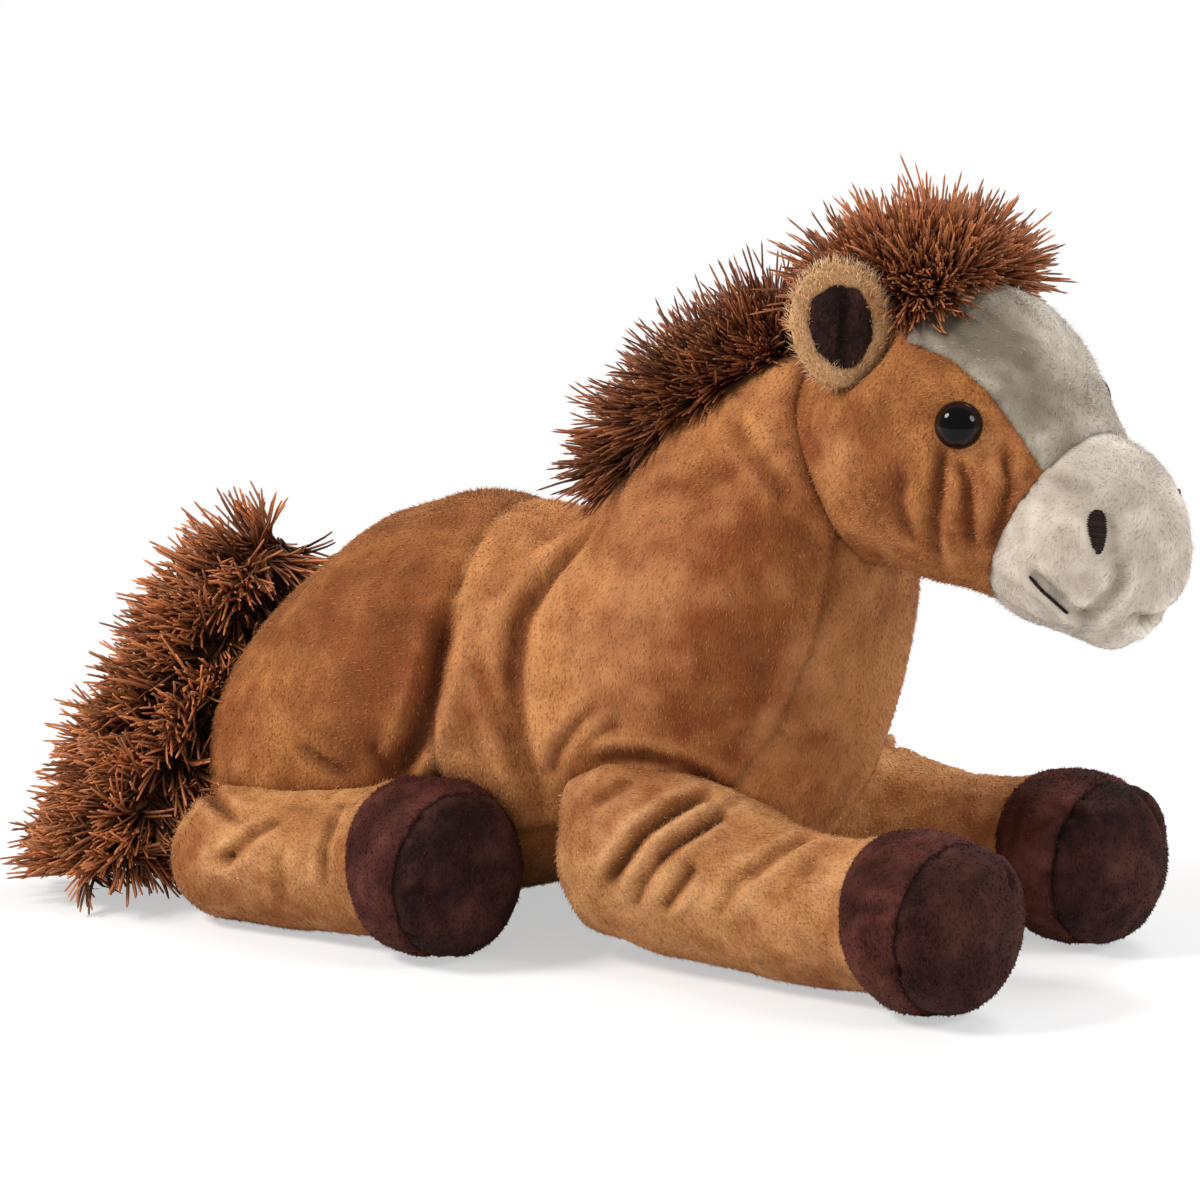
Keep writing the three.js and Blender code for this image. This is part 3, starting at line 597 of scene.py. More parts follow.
def buildPileTone():
    # Random patches and grain, dark seams, and painted light and shade: dark roots, pale tips, glints.
    tree, given, result = nodeGroup("pileTone", [
        ("Pile", "NodeSocketColor", (0.5, 0.3, 0.15, 1)),
        ("Shade", "NodeSocketColor", (0.3, 0.16, 0.07, 1)),
        ("Sheen", "NodeSocketColor", (0.8, 0.6, 0.4, 1)),
        ("Patch Scale", "NodeSocketFloat", 18.0),
        ("Grain Scale", "NodeSocketFloat", 700.0),
        ("Grain Depth", "NodeSocketFloat", 0.5),
        ("Root Shade Level", "NodeSocketFloat", 0.8),
        ("Tip Highlight", "NodeSocketFloat", 0.35),
        ("Tone Spread", "NodeSocketFloat", 0.3),
    ], [("Color", "NodeSocketColor"), ("Height", "NodeSocketFloat")])
    take, shape = given.outputs, toneShape

    def times(a, b):
        return mathNode(tree, "MULTIPLY", a, b)

    broad = noiseOf(tree, take["Patch Scale"], 2, distortion=shape["distortion"])
    streak = noiseOf(tree, times(take["Patch Scale"], shape["streakScale"]), 2,
                     shape["streakStretch"], shape["streakDistortion"])
    grain = noiseOf(tree, take["Grain Scale"], 3, shape["grainStretch"])
    stroke = mathNode(tree, "ADD", broad, times(streak, shape["streakShare"]))
    colour = mixColour(tree, mapRange(tree, stroke, *shape["patch"]), take["Shade"], take["Pile"])
    pits = times(mapRange(tree, grain, *shape["pits"]), take["Grain Depth"])
    colour = mixColour(tree, pits, colour, take["Shade"])
    colour = dimmed(tree, colour, mapRange(tree, pits, 0.0, 1.0, 1.0, shape["pitLevel"]))
    paintedLightAndShade, tip, tone, seam = (attributeOf(tree, key) for key in ("paintedLightAndShade", "tip", "tone", "seam"))
    # Painted shade where the nap value is low, painted sheen where it is high.
    paintedShading = mapRange(tree, paintedLightAndShade, 0.0, -1.0, 0.0, shape["laidShade"])
    paintedSheen = mapRange(tree, paintedLightAndShade, 0.0, 1.0, 0.0, shape["raisedSheen"])
    colour = mixColour(tree, paintedSheen, mixColour(tree, paintedShading, colour, take["Shade"]), take["Sheen"])
    # Painted highlight on the tips.
    colour = mixColour(tree, times(tip, take["Tip Highlight"]), colour, take["Sheen"])
    glint = times(mapRange(tree, tone, *shape["glint"], 0.0, shape["glintLight"]), tip)
    # Painted shade deep at the roots of the pile.
    rootShade = mapRange(tree, tip, 0.0, shape["rootReach"], take["Root Shade Level"], 1.0)
    spread = times(mapRange(tree, tone, 0.0, 1.0, -1.0, 1.0), take["Tone Spread"])
    level = times(mathNode(tree, "ADD", spread, 1.0), rootShade)
    level = times(level, mapRange(tree, seam, 0.0, 1.0, 1.0, shape["seamAndShadeLevel"]))
    level = times(level, mapRange(tree, paintedLightAndShade, -1.0, 1.0, *shape["paintedLightLevel"]))
    colour = mixColour(tree, glint, dimmed(tree, colour, level), take["Sheen"])
    tree.links.new(colour, result.inputs["Color"])
    tree.links.new(grain, result.inputs["Height"])
    return tree


pileTone = buildPileTone()


def newMaterial(name):
    material = bpy.data.materials.new(name)
    material.use_nodes = True
    return material, material.node_tree, material.node_tree.nodes["Principled BSDF"]


def pileMaterial(name, look):
    material, tree, shader = newMaterial(name)
    group = tree.nodes.new("ShaderNodeGroup")
    group.node_tree = pileTone
    for label, key in (("Pile", "pile"), ("Shade", "shade"), ("Sheen", "sheen")):
        group.inputs[label].default_value = (*look[key], 1)
    for label, key in (("Patch Scale", "patchScale"), ("Grain Scale", "grainScale"),
                       ("Grain Depth", "grainDepth"), ("Root Shade Level", "rootShadeLevel"),
                       ("Tip Highlight", "tipHighlight"), ("Tone Spread", "toneSpread")):
        group.inputs[label].default_value = look[key]
    tree.links.new(group.outputs["Color"], shader.inputs["Base Color"])
    bump = tree.nodes.new("ShaderNodeBump")
    bump.inputs["Strength"].default_value = look["bump"]
    bump.inputs["Distance"].default_value = look["bumpDistance"]
    tree.links.new(group.outputs["Height"], bump.inputs["Height"])
    tree.links.new(bump.outputs["Normal"], shader.inputs["Normal"])
    for label, key in (("Roughness", "roughness"), ("Specular IOR Level", "specular"),
                       ("Sheen Weight", "sheenWeight"), ("Sheen Roughness", "sheenRoughness")):
        shader.inputs[label].default_value = look[key]
    shader.inputs["Sheen Tint"].default_value = (*look["sheen"], 1)
    return material


plushFinish = {"patchScale": 15, "grainScale": 1300, "grainDepth": 0.5, "rootShadeLevel": 0.8,
               "tipHighlight": 0.4, "toneSpread": 0.48, "bump": 0.6, "bumpDistance": 0.5 * mm,
               "roughness": 0.8, "specular": 0.15, "sheenWeight": 0.25, "sheenRoughness": 0.4}
tanPlush = pileMaterial("tanPlush", dict(
    plushFinish, pile=(0.47, 0.180, 0.052), shade=(0.26, 0.068, 0.017), sheen=(0.76, 0.40, 0.17)))
paleTanPlush = pileMaterial("paleTanPlush", dict(
    plushFinish, pile=(0.53, 0.235, 0.080), shade=(0.33, 0.105, 0.029), sheen=(0.80, 0.50, 0.26)))
earPlush = pileMaterial("earPlush", dict(
    plushFinish, pile=(0.78, 0.46, 0.22), shade=(0.52, 0.25, 0.10), sheen=(0.90, 0.70, 0.46),
    tipHighlight=0.6))
creamPlush = pileMaterial("creamPlush", dict(
    plushFinish, pile=(0.59, 0.525, 0.45), shade=(0.46, 0.385, 0.31), sheen=(0.96, 0.94, 0.90),
    grainDepth=0.15, rootShadeLevel=1.0, tipHighlight=0.35, toneSpread=0.12, sheenWeight=0.2))
# The blaze is the same cream cloth as the muzzle; its darker colours are painted shade.
blazePlush = pileMaterial("blazePlush", dict(
    plushFinish, pile=(0.455, 0.395, 0.315), shade=(0.21, 0.168, 0.118), sheen=(0.96, 0.94, 0.90),
    grainDepth=0.15, rootShadeLevel=1.0, tipHighlight=0.3, toneSpread=0.12, sheenWeight=0.15))
knitFinish = dict(plushFinish, patchScale=22, grainScale=1100, grainDepth=0.9, rootShadeLevel=1.0,
                  tipHighlight=0.25, toneSpread=0.55, bump=1.0, sheenWeight=0.15, specular=0.1)
# Wall and sole are one knit: the wall's lighter and the sole's darker colours are painted light and
# shade.
hoofKnit = pileMaterial("hoofKnit", dict(
    knitFinish, pile=(0.066, 0.016, 0.012), shade=(0.034, 0.008, 0.006), sheen=(0.22, 0.075, 0.055)))
soleKnit = pileMaterial("soleKnit", dict(
    knitFinish, pile=(0.032, 0.009, 0.007), shade=(0.011, 0.003, 0.003), sheen=(0.14, 0.052, 0.040)))
liningKnit = pileMaterial("liningKnit", dict(
    plushFinish, pile=(0.052, 0.019, 0.015), shade=(0.012, 0.005, 0.004), sheen=(0.18, 0.08, 0.06),
    patchScale=55, grainScale=900, grainDepth=0.8, rootShadeLevel=1.0, bump=1.0))
manePile = pileMaterial("manePile", dict(
    plushFinish, pile=(0.182, 0.047, 0.017), shade=(0.062, 0.015, 0.006), sheen=(0.58, 0.215, 0.078),
    patchScale=45, grainScale=500, grainDepth=0.4, rootShadeLevel=0.2, tipHighlight=0.42, toneSpread=0.7,
    bump=0.2, roughness=0.5, specular=0.3, sheenWeight=0.05))
darkThread = pileMaterial("darkThread", dict(
    plushFinish, pile=(0.012, 0.007, 0.006), shade=(0.006, 0.004, 0.003), sheen=(0.05, 0.03, 0.025),
    patchScale=90, grainScale=2500, grainDepth=0.3, rootShadeLevel=1.0, bump=0.4,
    roughness=0.7, specular=0.12, sheenWeight=0.02))


# The eye is black with a ring of warmer plastic: place from the middle outwards, then colour.
eyeLook = {
    "stops": [(0.0, (0.003, 0.003, 0.003, 1)), (0.68, (0.004, 0.003, 0.003, 1)),
              (0.76, (0.020, 0.008, 0.005, 1)), (0.88, (0.010, 0.005, 0.004, 1)),
              (0.97, (0.004, 0.003, 0.003, 1))],
    "roughness": (0.03, 0.09), "smudges": 900, "specular": 0.13,
    "segments": 48, "rings": 24, "flat": 0.85, "sunk": 0.25, "rim": 0.97, "smoothAngle": 50,
}


def eyeMaterial():
    material, tree, shader = newMaterial("eyeGloss")
    ramp = tree.nodes.new("ShaderNodeValToRGB")
    stops, made = eyeLook["stops"], ramp.color_ramp.elements
    made[0].position, made[0].color = stops[0]
    made[1].position, made[1].color = stops[-1]
    for place, colour in stops[1:-1]:
        made.new(place).color = colour
    tree.links.new(attributeOf(tree, "ring"), ramp.inputs[0])
    tree.links.new(ramp.outputs["Color"], shader.inputs["Base Color"])
    smudges = noiseOf(tree, eyeLook["smudges"], 3)
    tree.links.new(mapRange(tree, smudges, 0.3, 0.8, *eyeLook["roughness"]),
                   shader.inputs["Roughness"])
    shader.inputs["Specular IOR Level"].default_value = eyeLook["specular"]
    return material


washerLook = {"colours": ((0.78, 0.77, 0.74, 1), (0.86, 0.85, 0.83, 1)), "scale": 300,
              "roughness": 0.45}


def washerMaterial():
    material, tree, shader = newMaterial("washerPlastic")
    colour = mixColour(tree, noiseOf(tree, washerLook["scale"], 3), *washerLook["colours"])
    tree.links.new(colour, shader.inputs["Base Color"])
    shader.inputs["Roughness"].default_value = washerLook["roughness"]
    return material


eyeGloss = eyeMaterial()
washerPlastic = washerMaterial()
print("materials made")

# Camera, floor and light

cameraLook = {"around": 28.0, "rise": 11.5, "distance": 1.5, "target": (0.1099, 0.0, 0.122),
              "lens": 116.88, "sensor": 36, "reach": 50}
target = Vector(cameraLook["target"])


def standing(look, distance):
    # A place this far from the target, and the turn that faces it.
    turn, lift = math.radians(look["around"]), math.radians(look["rise"])
    place = target + distance * Vector((
        math.cos(lift) * math.sin(turn), -math.cos(lift) * math.cos(turn), math.sin(lift)))
    return {"location": place, "rotation": (target - place).to_track_quat("-Z", "Y").to_euler()}


bpy.ops.object.camera_add(**standing(cameraLook, cameraLook["distance"]))
camera = bpy.context.object
camera.data.lens = cameraLook["lens"]
camera.data.sensor_width = cameraLook["sensor"]
camera.data.clip_end = cameraLook["reach"]
bpy.context.scene.camera = camera

lightLook = {
    "key": {"around": -46, "rise": 42, "size": 0.7, "power": 49, "colour": (1, 0.97, 0.94)},
    "side": {"around": 88, "rise": 30, "size": 0.8, "power": 23, "colour": (1, 1, 1)},
    "rim": {"around": 172, "rise": 42, "size": 1.0, "power": 26, "colour": (1, 1, 1)},
    "distance": 2.2,
    "world": 0.33,
}
for name in ("key", "side", "rim"):
    look = lightLook[name]
    bpy.ops.object.light_add(type="AREA", **standing(look, lightLook["distance"]))
    lamp = bpy.context.object
    lamp.name = name + "Light"
    lamp.data.shape = "DISK"
    lamp.data.size = look["size"]
    lamp.data.energy = look["power"]
    lamp.data.color = look["colour"]

floorLook = {"size": 40, "colour": 0.9, "roughness": 0.9, "specular": 0.1, "near": 0.3, "far": 0.55,
             "whiteNear": 0.5}
bpy.ops.mesh.primitive_plane_add(size=floorLook["size"])
floor = bpy.context.object
floor.name = "floor"
floorMaterial, floorTree, floorShader = newMaterial("paleFloor")
floorShader.inputs["Base Color"].default_value = (*[floorLook["colour"]] * 3, 1)
floorShader.inputs["Roughness"].default_value = floorLook["roughness"]
floorShader.inputs["Specular IOR Level"].default_value = floorLook["specular"]
# The camera sees the floor fade to white away from the toy; close to it the shadow stays.
glow = floorTree.nodes.new("ShaderNodeEmission")
spot = floorTree.nodes.new("ShaderNodeTexCoord")
away = floorTree.nodes.new("ShaderNodeVectorMath")
away.operation = "DISTANCE"
away.inputs[1].default_value = (target.x, target.y, 0)
floorTree.links.new(spot.outputs["Object"], away.inputs[0])
white = mapRange(floorTree, away.outputs["Value"], floorLook["near"], floorLook["far"],
                 floorLook["whiteNear"], 1.0)
ray = floorTree.nodes.new("ShaderNodeLightPath")
blendFloor = floorTree.nodes.new("ShaderNodeMixShader")
floorTree.links.new(mathNode(floorTree, "MULTIPLY", white, ray.outputs["Is Camera Ray"]),
                    blendFloor.inputs[0])
floorTree.links.new(floorShader.outputs[0], blendFloor.inputs[1])
floorTree.links.new(glow.outputs[0], blendFloor.inputs[2])
floorTree.links.new(blendFloor.outputs[0], floorTree.nodes["Material Output"].inputs["Surface"])
floor.data.materials.append(floorMaterial)

world = bpy.data.worlds.new("studio")
bpy.context.scene.world = world
world.use_nodes = True
sky = world.node_tree
background = sky.nodes["Background"]
lightPath = sky.nodes.new("ShaderNodeLightPath")
background.inputs["Color"].default_value = (1, 1, 1, 1)
sky.links.new(mapRange(sky, lightPath.outputs["Is Camera Ray"], 0.0, 1.0, lightLook["world"], 1.0),
              background.inputs["Strength"])
bpy.context.scene.view_settings.view_transform = "Standard"
print("camera, light and floor set")

# Stuffed forms: trunk, legs and head lie against each other before they get their folds

gapLook = {"reach": 13 * mm, "lap": 0.7 * mm, "most": 5.5 * mm, "spread": 5, "nearGain": 1.6,
           "leastFacing": 0.15, "facingGain": 1.5, "touching": 0.0001 * mm}
skinBack = 1.6 * mm
onFloor = 0.4 * mm
trunkLook = {
    "voxel": 2.2 * mm, "rounds": 40, "grow": 1.2 * mm, "groove": 2.4 * mm, "grooveWidth": 3.0 * mm,
    "pin": 1.2, "pinFloor": 2 * mm, "pressure": 1.6, "cap": 4 * mm,
    "wobble": (1.6 * mm, 34 * mm, 1), "seamShade": 0.45,
    "seamWidth": 1.2 * mm, "foldShade": 12 * mm, "foldNapShade": 3.5 * mm, "unrest": (0.62, 20 * mm, 21),
    "soften": 0.4, "softenRounds": 2, "darkest": 0.3,
    # Folds (points, depth, width) and mounds (middle, width, height) of the right side, in
    # millimetres. The left side repeats them. Wobble and unrest end with a scale and a seed.
    "creases": [
        ([(125, -37, 157), (114, -43, 142), (105, -54, 124), (106, -62, 102), (110, -63, 80),
          (117, -58, 57)], 4.2, 4.5),
        ([(75, -58, 122), (75, -67, 100), (70, -71, 78), (59, -72, 60)], 5, 4),
        ([(140, -62, 76), (151, -63, 79), (162, -61, 80), (175, -57, 77), (188, -52, 70)], 4.2, 3),
        ([(143, -65, 97), (135, -64, 89), (126, -63, 78), (123, -62, 68)], 2.2, 2.4),
        ([(153, -64, 92), (144, -65, 86), (137, -64, 80)], 1.5, 2.2),
        ([(54, -75, 76), (58, -73, 62)], 2.4, 2.4),
        ([(24, -78, 72), (34, -77, 66), (43, -76, 62)], 2.4, 2.8),
        ([(92, -62, 109), (101, -64, 88), (108, -61, 64)], 2, 3),
        ([(184, -35, 202), (192, -42, 196), (204, -47, 187), (213, -48, 177)], 1.8, 3.2),
        ([(149, -42, 171), (170, -46, 180), (192, -46, 186)], 1.2, 4),
        ([(205, -50, 120), (202, -52, 104), (196, -52, 88)], 1.4, 4),
        ([(200, -52, 150), (208, -48, 138)], 1.2, 3),
    ],
    "mounds": [((30, -72, 96), 34, 2.6), ((165, -60, 112), 30, 2), ((64, -66, 92), 12, 2)],
    # Painted light and shade per panel: hindquarters, sides, belly, chest; then painted strokes over
    # them.
    "paintedLightAndShade": (-0.4, 0.5, 0.2, 0.6),
    "lightAndShadeStrokes": [((1, -73, 85), 20, 0.5), ((-12, -72, 56), 20, 0.55), ((59, -65, 113), 11, -0.8),
                ((57, -73, 74), 9, -0.6), ((20, -60, 140), 18, 0.3), ((162, -59, 137), 20, 0.55),
                ((134, -61, 118), 18, 0.2), ((197, -56, 122), 20, -0.95), ((182, -58, 94), 15, -0.6),
                ((216, -46, 168), 18, -0.9), ((190, -43, 190), 14, -0.45), ((227, -7, 89), 22, 0.6),
                ((105, -60, 110), 20, 0.2)],
}
trunkPanels = [["hindquarter_right", "hindquarter_left"], ["side_panel_right", "side_panel_left"],
               ["belly_panel"], ["chest_gusset"]]
trunkNodes = ["trunk_fill"] + [n for panel in trunkPanels for n in panel]
legLook = {
    "voxel": 1.9 * mm, "rounds": 34, "grow": 0.8 * mm, "groove": 1.5 * mm, "grooveWidth": 2.4 * mm,
    "pucker": 1.7 * mm, "puckerReach": 7 * mm, "puckerCount": 16, "puckerScale": 0.45,
    "puckerDrift": 4, "puckerSharp": 4, "puckerMean": 0.45, "puckerSpread": 1.6, "puckerLeast": 0.1,
    "puckerSeed": 40, "hoofReach": 20 * mm,
    "seamReach": 1.5 * mm, "wobble": (1.1 * mm, 20 * mm, 2), "plushShade": 0.3,
    "seamShade": 1.0, "foldShade": 12 * mm, "foldNapShade": 3 * mm, "unrest": (0.62, 15 * mm, 22),
    # Painted light on the legs: the front ones a little lighter than the hind ones.
    "paintedLightAndShade": {"front": 0.3, "hind": 0.1}, "lightAndShadeStrokes": [], "darkest": 0.4,
    # The left front leg lies this far further forwards than the right one.
    "lag": 14 * mm,
    "front": [
        ([(158, -83, 36), (164, -83, 46), (171, -79, 57), (180, -70, 64), (187, -60, 66)], 4.6, 2.8),
        ([(176, -83, 46), (189, -74, 58), (196, -65, 61)], 3.8, 2.4),
        ([(180, -84, 29), (188, -83, 40), (192, -81, 47)], 2.6, 2.2),
        ([(213, -80, 44), (221, -71, 53), (228, -61, 56)], 2.4, 2.4),
        ([(147, -75, 62), (153, -71, 67), (160, -66, 70)], 1.8, 2.4),
        ([(189, -74, 56), (193, -65, 61), (195, -50, 63)], 1.6, 2.2),
        ([(203, -83, 30), (209, -82, 42), (214, -76, 51)], 1.4, 2.4),
        ([(232, -77, 45), (235, -71, 51), (237, -61, 55)], 1.4, 2.2),
        ([(168, -84, 28), (172, -84, 38), (178, -82, 46)], 1.6, 2.2),
    ],
    "hind": [
        ([(-22, -76, 48), (-10, -88, 46), (4, -95, 43)], 3.2, 2.6),
        ([(46, -84, 53), (49, -97, 47), (49, -103, 35), (50, -104, 26)], 2.2, 2.2),
        ([(4, -104, 29), (10, -102, 34), (15, -99, 40), (24, -94, 46)], 2.2, 2.4),
        ([(8, -104, 33), (2, -102, 30), (-4, -98, 28)], 1.8, 2.4),
        ([(27, -104, 36), (30, -106, 26), (30, -105, 16)], 1.2, 2.6),
        ([(52, -88, 50), (54, -98, 42)], 1.2, 2),
    ],
    "soles": [
        ([(292, -52, 61), (297, -56, 57), (302, -58, 53), (305, -60, 47)], 2.4, 2),
        ([(299, -48, 57), (304, -50, 50), (306, -52, 42)], 2, 2),
        ([(257, -90, 41), (270, -95, 44), (281, -96, 47)], 0.7, 2),
        ([(90, -117, 30), (99, -116, 34)], 1.2, 2),
    ],
}
tanHead = ["cheek_right", "cheek_left", "crown_gusset", "jaw_gusset"]
muzzleNodes = ["muzzle_bridge", "muzzle_side_right", "muzzle_side_left", "chin"]
headLook = {
    "voxel": 1.9 * mm, "rounds": 24, "grow": 0.8 * mm, "groove": 1.3 * mm, "grooveWidth": 2.2 * mm,
    "wobble": (1.1 * mm, 17 * mm, 9), "seamShade": 0.3, "turn": -11.0, "middle": (242, -6, 0),
    "panelPull": 0.4, "panelWidth": 0.8 * mm, "panelShade": 0.15, "foldShade": 12 * mm,
    "lipShade": 9 * mm, "darkest": 0.4, "foldNapShade": 3 * mm, "unrest": (0.58, 15 * mm, 23),
    "creases": [
        ([(277, -59, 203), (276, -59, 191), (272, -55, 176), (269, -43, 160)], 3, 2.4),
        ([(281, -58, 200), (285, -58, 191), (285, -55, 177), (286, -52, 167)], 2.4, 2.2),
        ([(296, -52, 203), (299, -53, 192), (296, -53, 178), (291, -51, 167)], 2.4, 2.2),
        ([(262, -59, 194), (259, -56, 182), (261, -50, 169), (271, -47, 162)], 1.6, 3),
        ([(268, -60, 186), (266, -56, 172)], 1.2, 2.4),
        ([(304, -48, 196), (300, -50, 186)], 1.4, 2.2),
    ],
    "lips": [
        ([(336, -49, 168), (338, -48, 161), (336, -48, 155), (331, -49, 151), (326, -48, 146),
          (324, -45, 139)], 2.2, 2.6),
        ([(308, -53, 161), (315, -54, 156), (320, -52, 151), (327, -48, 146)], 2.2, 2.4),
        ([(335, -49, 184), (336, -50, 176), (336, -50, 168)], 1.4, 3),
        ([(344, -12, 145), (343, -18, 144), (341, -24, 143), (338, -30, 143)], 2.0, 2.4),
        ([(313, -46, 194), (320, -46, 190), (327, -46, 188)], 1.2, 2.6),
    ],
    "mounds": [((327, -44, 148), 9, 1.4), ((318, -50, 172), 15, 1.6), ((345, -33, 150), 9, 1.2),
               ((329, -24, 137), 11, 2.6), ((307, -50, 200), 7, 1.6)],
    # Painted strokes of light and shade on the head.
    "lightAndShadeStrokes": [((231, -48, 190), 12, 0.8), ((256, -56, 189), 14, -0.6), ((253, -41, 161), 10, 0.3),
                ((276, -54, 176), 10, -0.4), ((258, -56, 217), 14, -0.3), ((276, -45, 238), 15, -1.0),
                ((288, -36, 238), 13, -0.9), ((301, -40, 219), 13, -0.7), ((307, -53, 178), 12, 0.4),
                ((322, -44, 193), 10, -0.4)],
}


def sidePlace(mirror, lag=0.0):
    # Places of the right side, moved to the side of the toy that a piece lies on.
    return lambda line: line * np.array([1, mirror, 1]) + np.array([lag, 0, 0])


bothSides = (sidePlace(1), sidePlace(-1))
headTurn = math.radians(headLook["turn"])
headAcross = np.array([-math.sin(headTurn), math.cos(headTurn), 0])
headMiddle = np.array(headLook["middle"]) * mm


def overHead(line):
    # The same place on the head's other side: the head is turned, so its mid plane is too.
    return line - 2 * ((line - headMiddle) @ headAcross)[:, None] * headAcross


fineUnrest = {"share": 0.7, "scale": 0.35, "seedStep": 9}
pileShade = {"reach": 3 * mm, "depth": 0.9}


def paintPileLight(form, points, look, paintedLightAndShade):
    # Painted light and shade: a level per panel, painted strokes on both sides and slow random unrest.
    for place in bothSides:
        paintedLightAndShade = paintedLightAndShade + mounded(points, look["lightAndShadeStrokes"], place) / mm
    wild, scale, seed = look["unrest"]
    fine = smoothNoise(points, scale * fineUnrest["scale"], seed + fineUnrest["seedStep"])
    rough = smoothNoise(points, scale, seed) + fineUnrest["share"] * fine
    setAttribute(form, "paintedLightAndShade", np.clip(paintedLightAndShade + wild * rough, -1, 1))


def underPile(tree, points):
    # How much the long pile shades the cloth below it.
    return np.clip(1 - distances(tree, points) / pileShade["reach"], 0, 1) * pileShade["depth"]


def well(far, width):
    return np.exp(-(far / width) ** 2)


def pressed(form, look, places, pull, sunk):
    # Swells the cloth a little unevenly, with its mounds, and draws the seams and folds in.
    points, normals = vertexArray(form), normalArray(form)
    high, scale, seed = look["wobble"]
    move = look["grow"] + high * smoothNoise(points, scale, seed)
    for place in places:
        move += mounded(points, look["mounds"], place)
    move -= look["groove"] * pull + sunk
    points += normals * move[:, None]
    points[:, 2] = np.maximum(points[:, 2], onFloor)
    setVertices(form, points)
    return points


trunkForm = stuffedForm("trunkPlush", trunkNodes, trunkLook["voxel"], trunkLook["rounds"])
trunkPoints = vertexArray(trunkForm)
trunkLabel, trunkBorder = panelField(trunkPoints, trunkPanels)
seamPull = well(trunkBorder, trunkLook["grooveWidth"])
pinned = np.clip(seamPull * trunkLook["pin"] + (trunkPoints[:, 2] < trunkLook["pinFloor"]), 0, 1)
puffed(trunkForm, pinned, trunkLook["pressure"], trunkLook["cap"])
legForms = {}
for leg in legNames:
    ends = ["_fill", "_skin_upper", "_skin_lower", "_hoof_wall", "_hoof_sole"]
    legForms[leg] = stuffedForm(leg, [leg + end for end in ends], legLook["voxel"], legLook["rounds"])
headForm = stuffedForm("headWhole", ["head_fill", "blaze_gusset"] + tanHead + muzzleNodes,
                       headLook["voxel"], headLook["rounds"])
legLabels = {}
for leg, form in legForms.items():
    points = vertexArray(form)
    skins = [leg + "_skin_upper", leg + "_skin_lower"]
    legLabels[leg] = panelField(points, [skins, [leg + "_hoof_wall"], [leg + "_hoof_sole"]])
points = vertexArray(headForm)
headLabel, headBorder = panelField(points, [tanHead, ["blaze_gusset"], muzzleNodes])
_, panelBorder = panelField(points, [[n] for n in tanHead + muzzleNodes + ["blaze_gusset"]])
for form in list(legForms.values()) + [headForm]:
    closeGap(trunkForm, form, gapLook)
print("forms stuffed:", len(trunkPoints), "points in the trunk")

# Trunk and neck

points = vertexArray(trunkForm)
folds = sum(creased(points, trunkLook["creases"], place) for place in bothSides)
points = pressed(trunkForm, trunkLook, bothSides, seamPull, folds)
applyModifier(trunkForm, "SMOOTH", factor=trunkLook["soften"], iterations=trunkLook["softenRounds"])
# Dark seam lines, with painted shade in the folds and under the mane.
seam = well(trunkBorder, trunkLook["seamWidth"]) * trunkLook["seamShade"]
foldShade = np.clip(folds / trunkLook["foldShade"], 0, trunkLook["darkest"])
maneTree, forelockTree = treeOf(["mane"]), treeOf(["forelock"])
setAttribute(trunkForm, "seam", np.maximum.reduce([seam, foldShade, underPile(maneTree, points)]))
# Painted light and shade per panel, painted darker in the folds.
paintedLightAndShade = np.array(trunkLook["paintedLightAndShade"])[trunkLabel] - folds / trunkLook["foldNapShade"]
paintPileLight(trunkForm, points, trunkLook, paintedLightAndShade)
print("trunk shaped")

# Legs and hooves: in the labels the plush is 0, the hoof wall 1 and the sole 2

legPieces = {}
for leg, form in legForms.items():
    end = leg.split("_")[0]
    label, border = legLabels[leg]
    points = vertexArray(form)
    place = sidePlace(1 if leg.endswith("right") else -1, legLook["lag"] * (leg == "front_leg_left"))
    folds = creased(points, legLook[end], place) * (label == 0)
    folds += creased(points, legLook["soles"], place) * (label > 0)
    # The puckers run outwards from the sole's seam, deep in some places and faint in others.
    onSeam = points[(border < legLook["seamReach"]) & (label == 2)]
    middle = onSeam.mean(axis=0)
    along, across, _ = np.linalg.svd(onSeam - middle, full_matrices=False)[2]
    turn = np.arctan2((points - middle) @ along, (points - middle) @ across)
    ring = np.stack([np.cos(turn), np.sin(turn), turn * 0], axis=1)
    unrest = smoothNoise(ring, legLook["puckerScale"], legLook["puckerSeed"])
    wave = np.cos(legLook["puckerCount"] * turn + legLook["puckerDrift"] * unrest)
    pucker = (0.5 + 0.5 * wave) ** legLook["puckerSharp"]
    atHoof = (label > 0) * (points[:, 0] > middle[0] - legLook["hoofReach"])
    pucker *= well(border, legLook["puckerReach"]) * atHoof
    strength = legLook["puckerMean"] + legLook["puckerSpread"] * unrest
    pucker *= np.clip(strength, legLook["puckerLeast"], 1)
    points = pressed(form, legLook, (), well(border, legLook["grooveWidth"]),
                     legLook["pucker"] * pucker + folds)
    # Painted shade in the folds and puckers, in the seam value and in the pile's painted light.
    shade = folds / legLook["foldShade"] + legLook["darkest"] * pucker
    setAttribute(form, "seam", np.clip(shade, 0, legLook["darkest"]))
    paintedLightAndShade = legLook["paintedLightAndShade"][end] - folds / legLook["foldNapShade"]
    paintPileLight(form, points, legLook, paintedLightAndShade)
    shade = np.where(label == 0, legLook["plushShade"], legLook["seamShade"])
    parts = splitForm(form, label, border, shade, [leg + "Plush", leg + "HoofWall", leg + "HoofSole"])
    for piece in parts.values():
        backed(piece, skinBack)
    legPieces[leg] = parts
print("legs shaped")

# Head

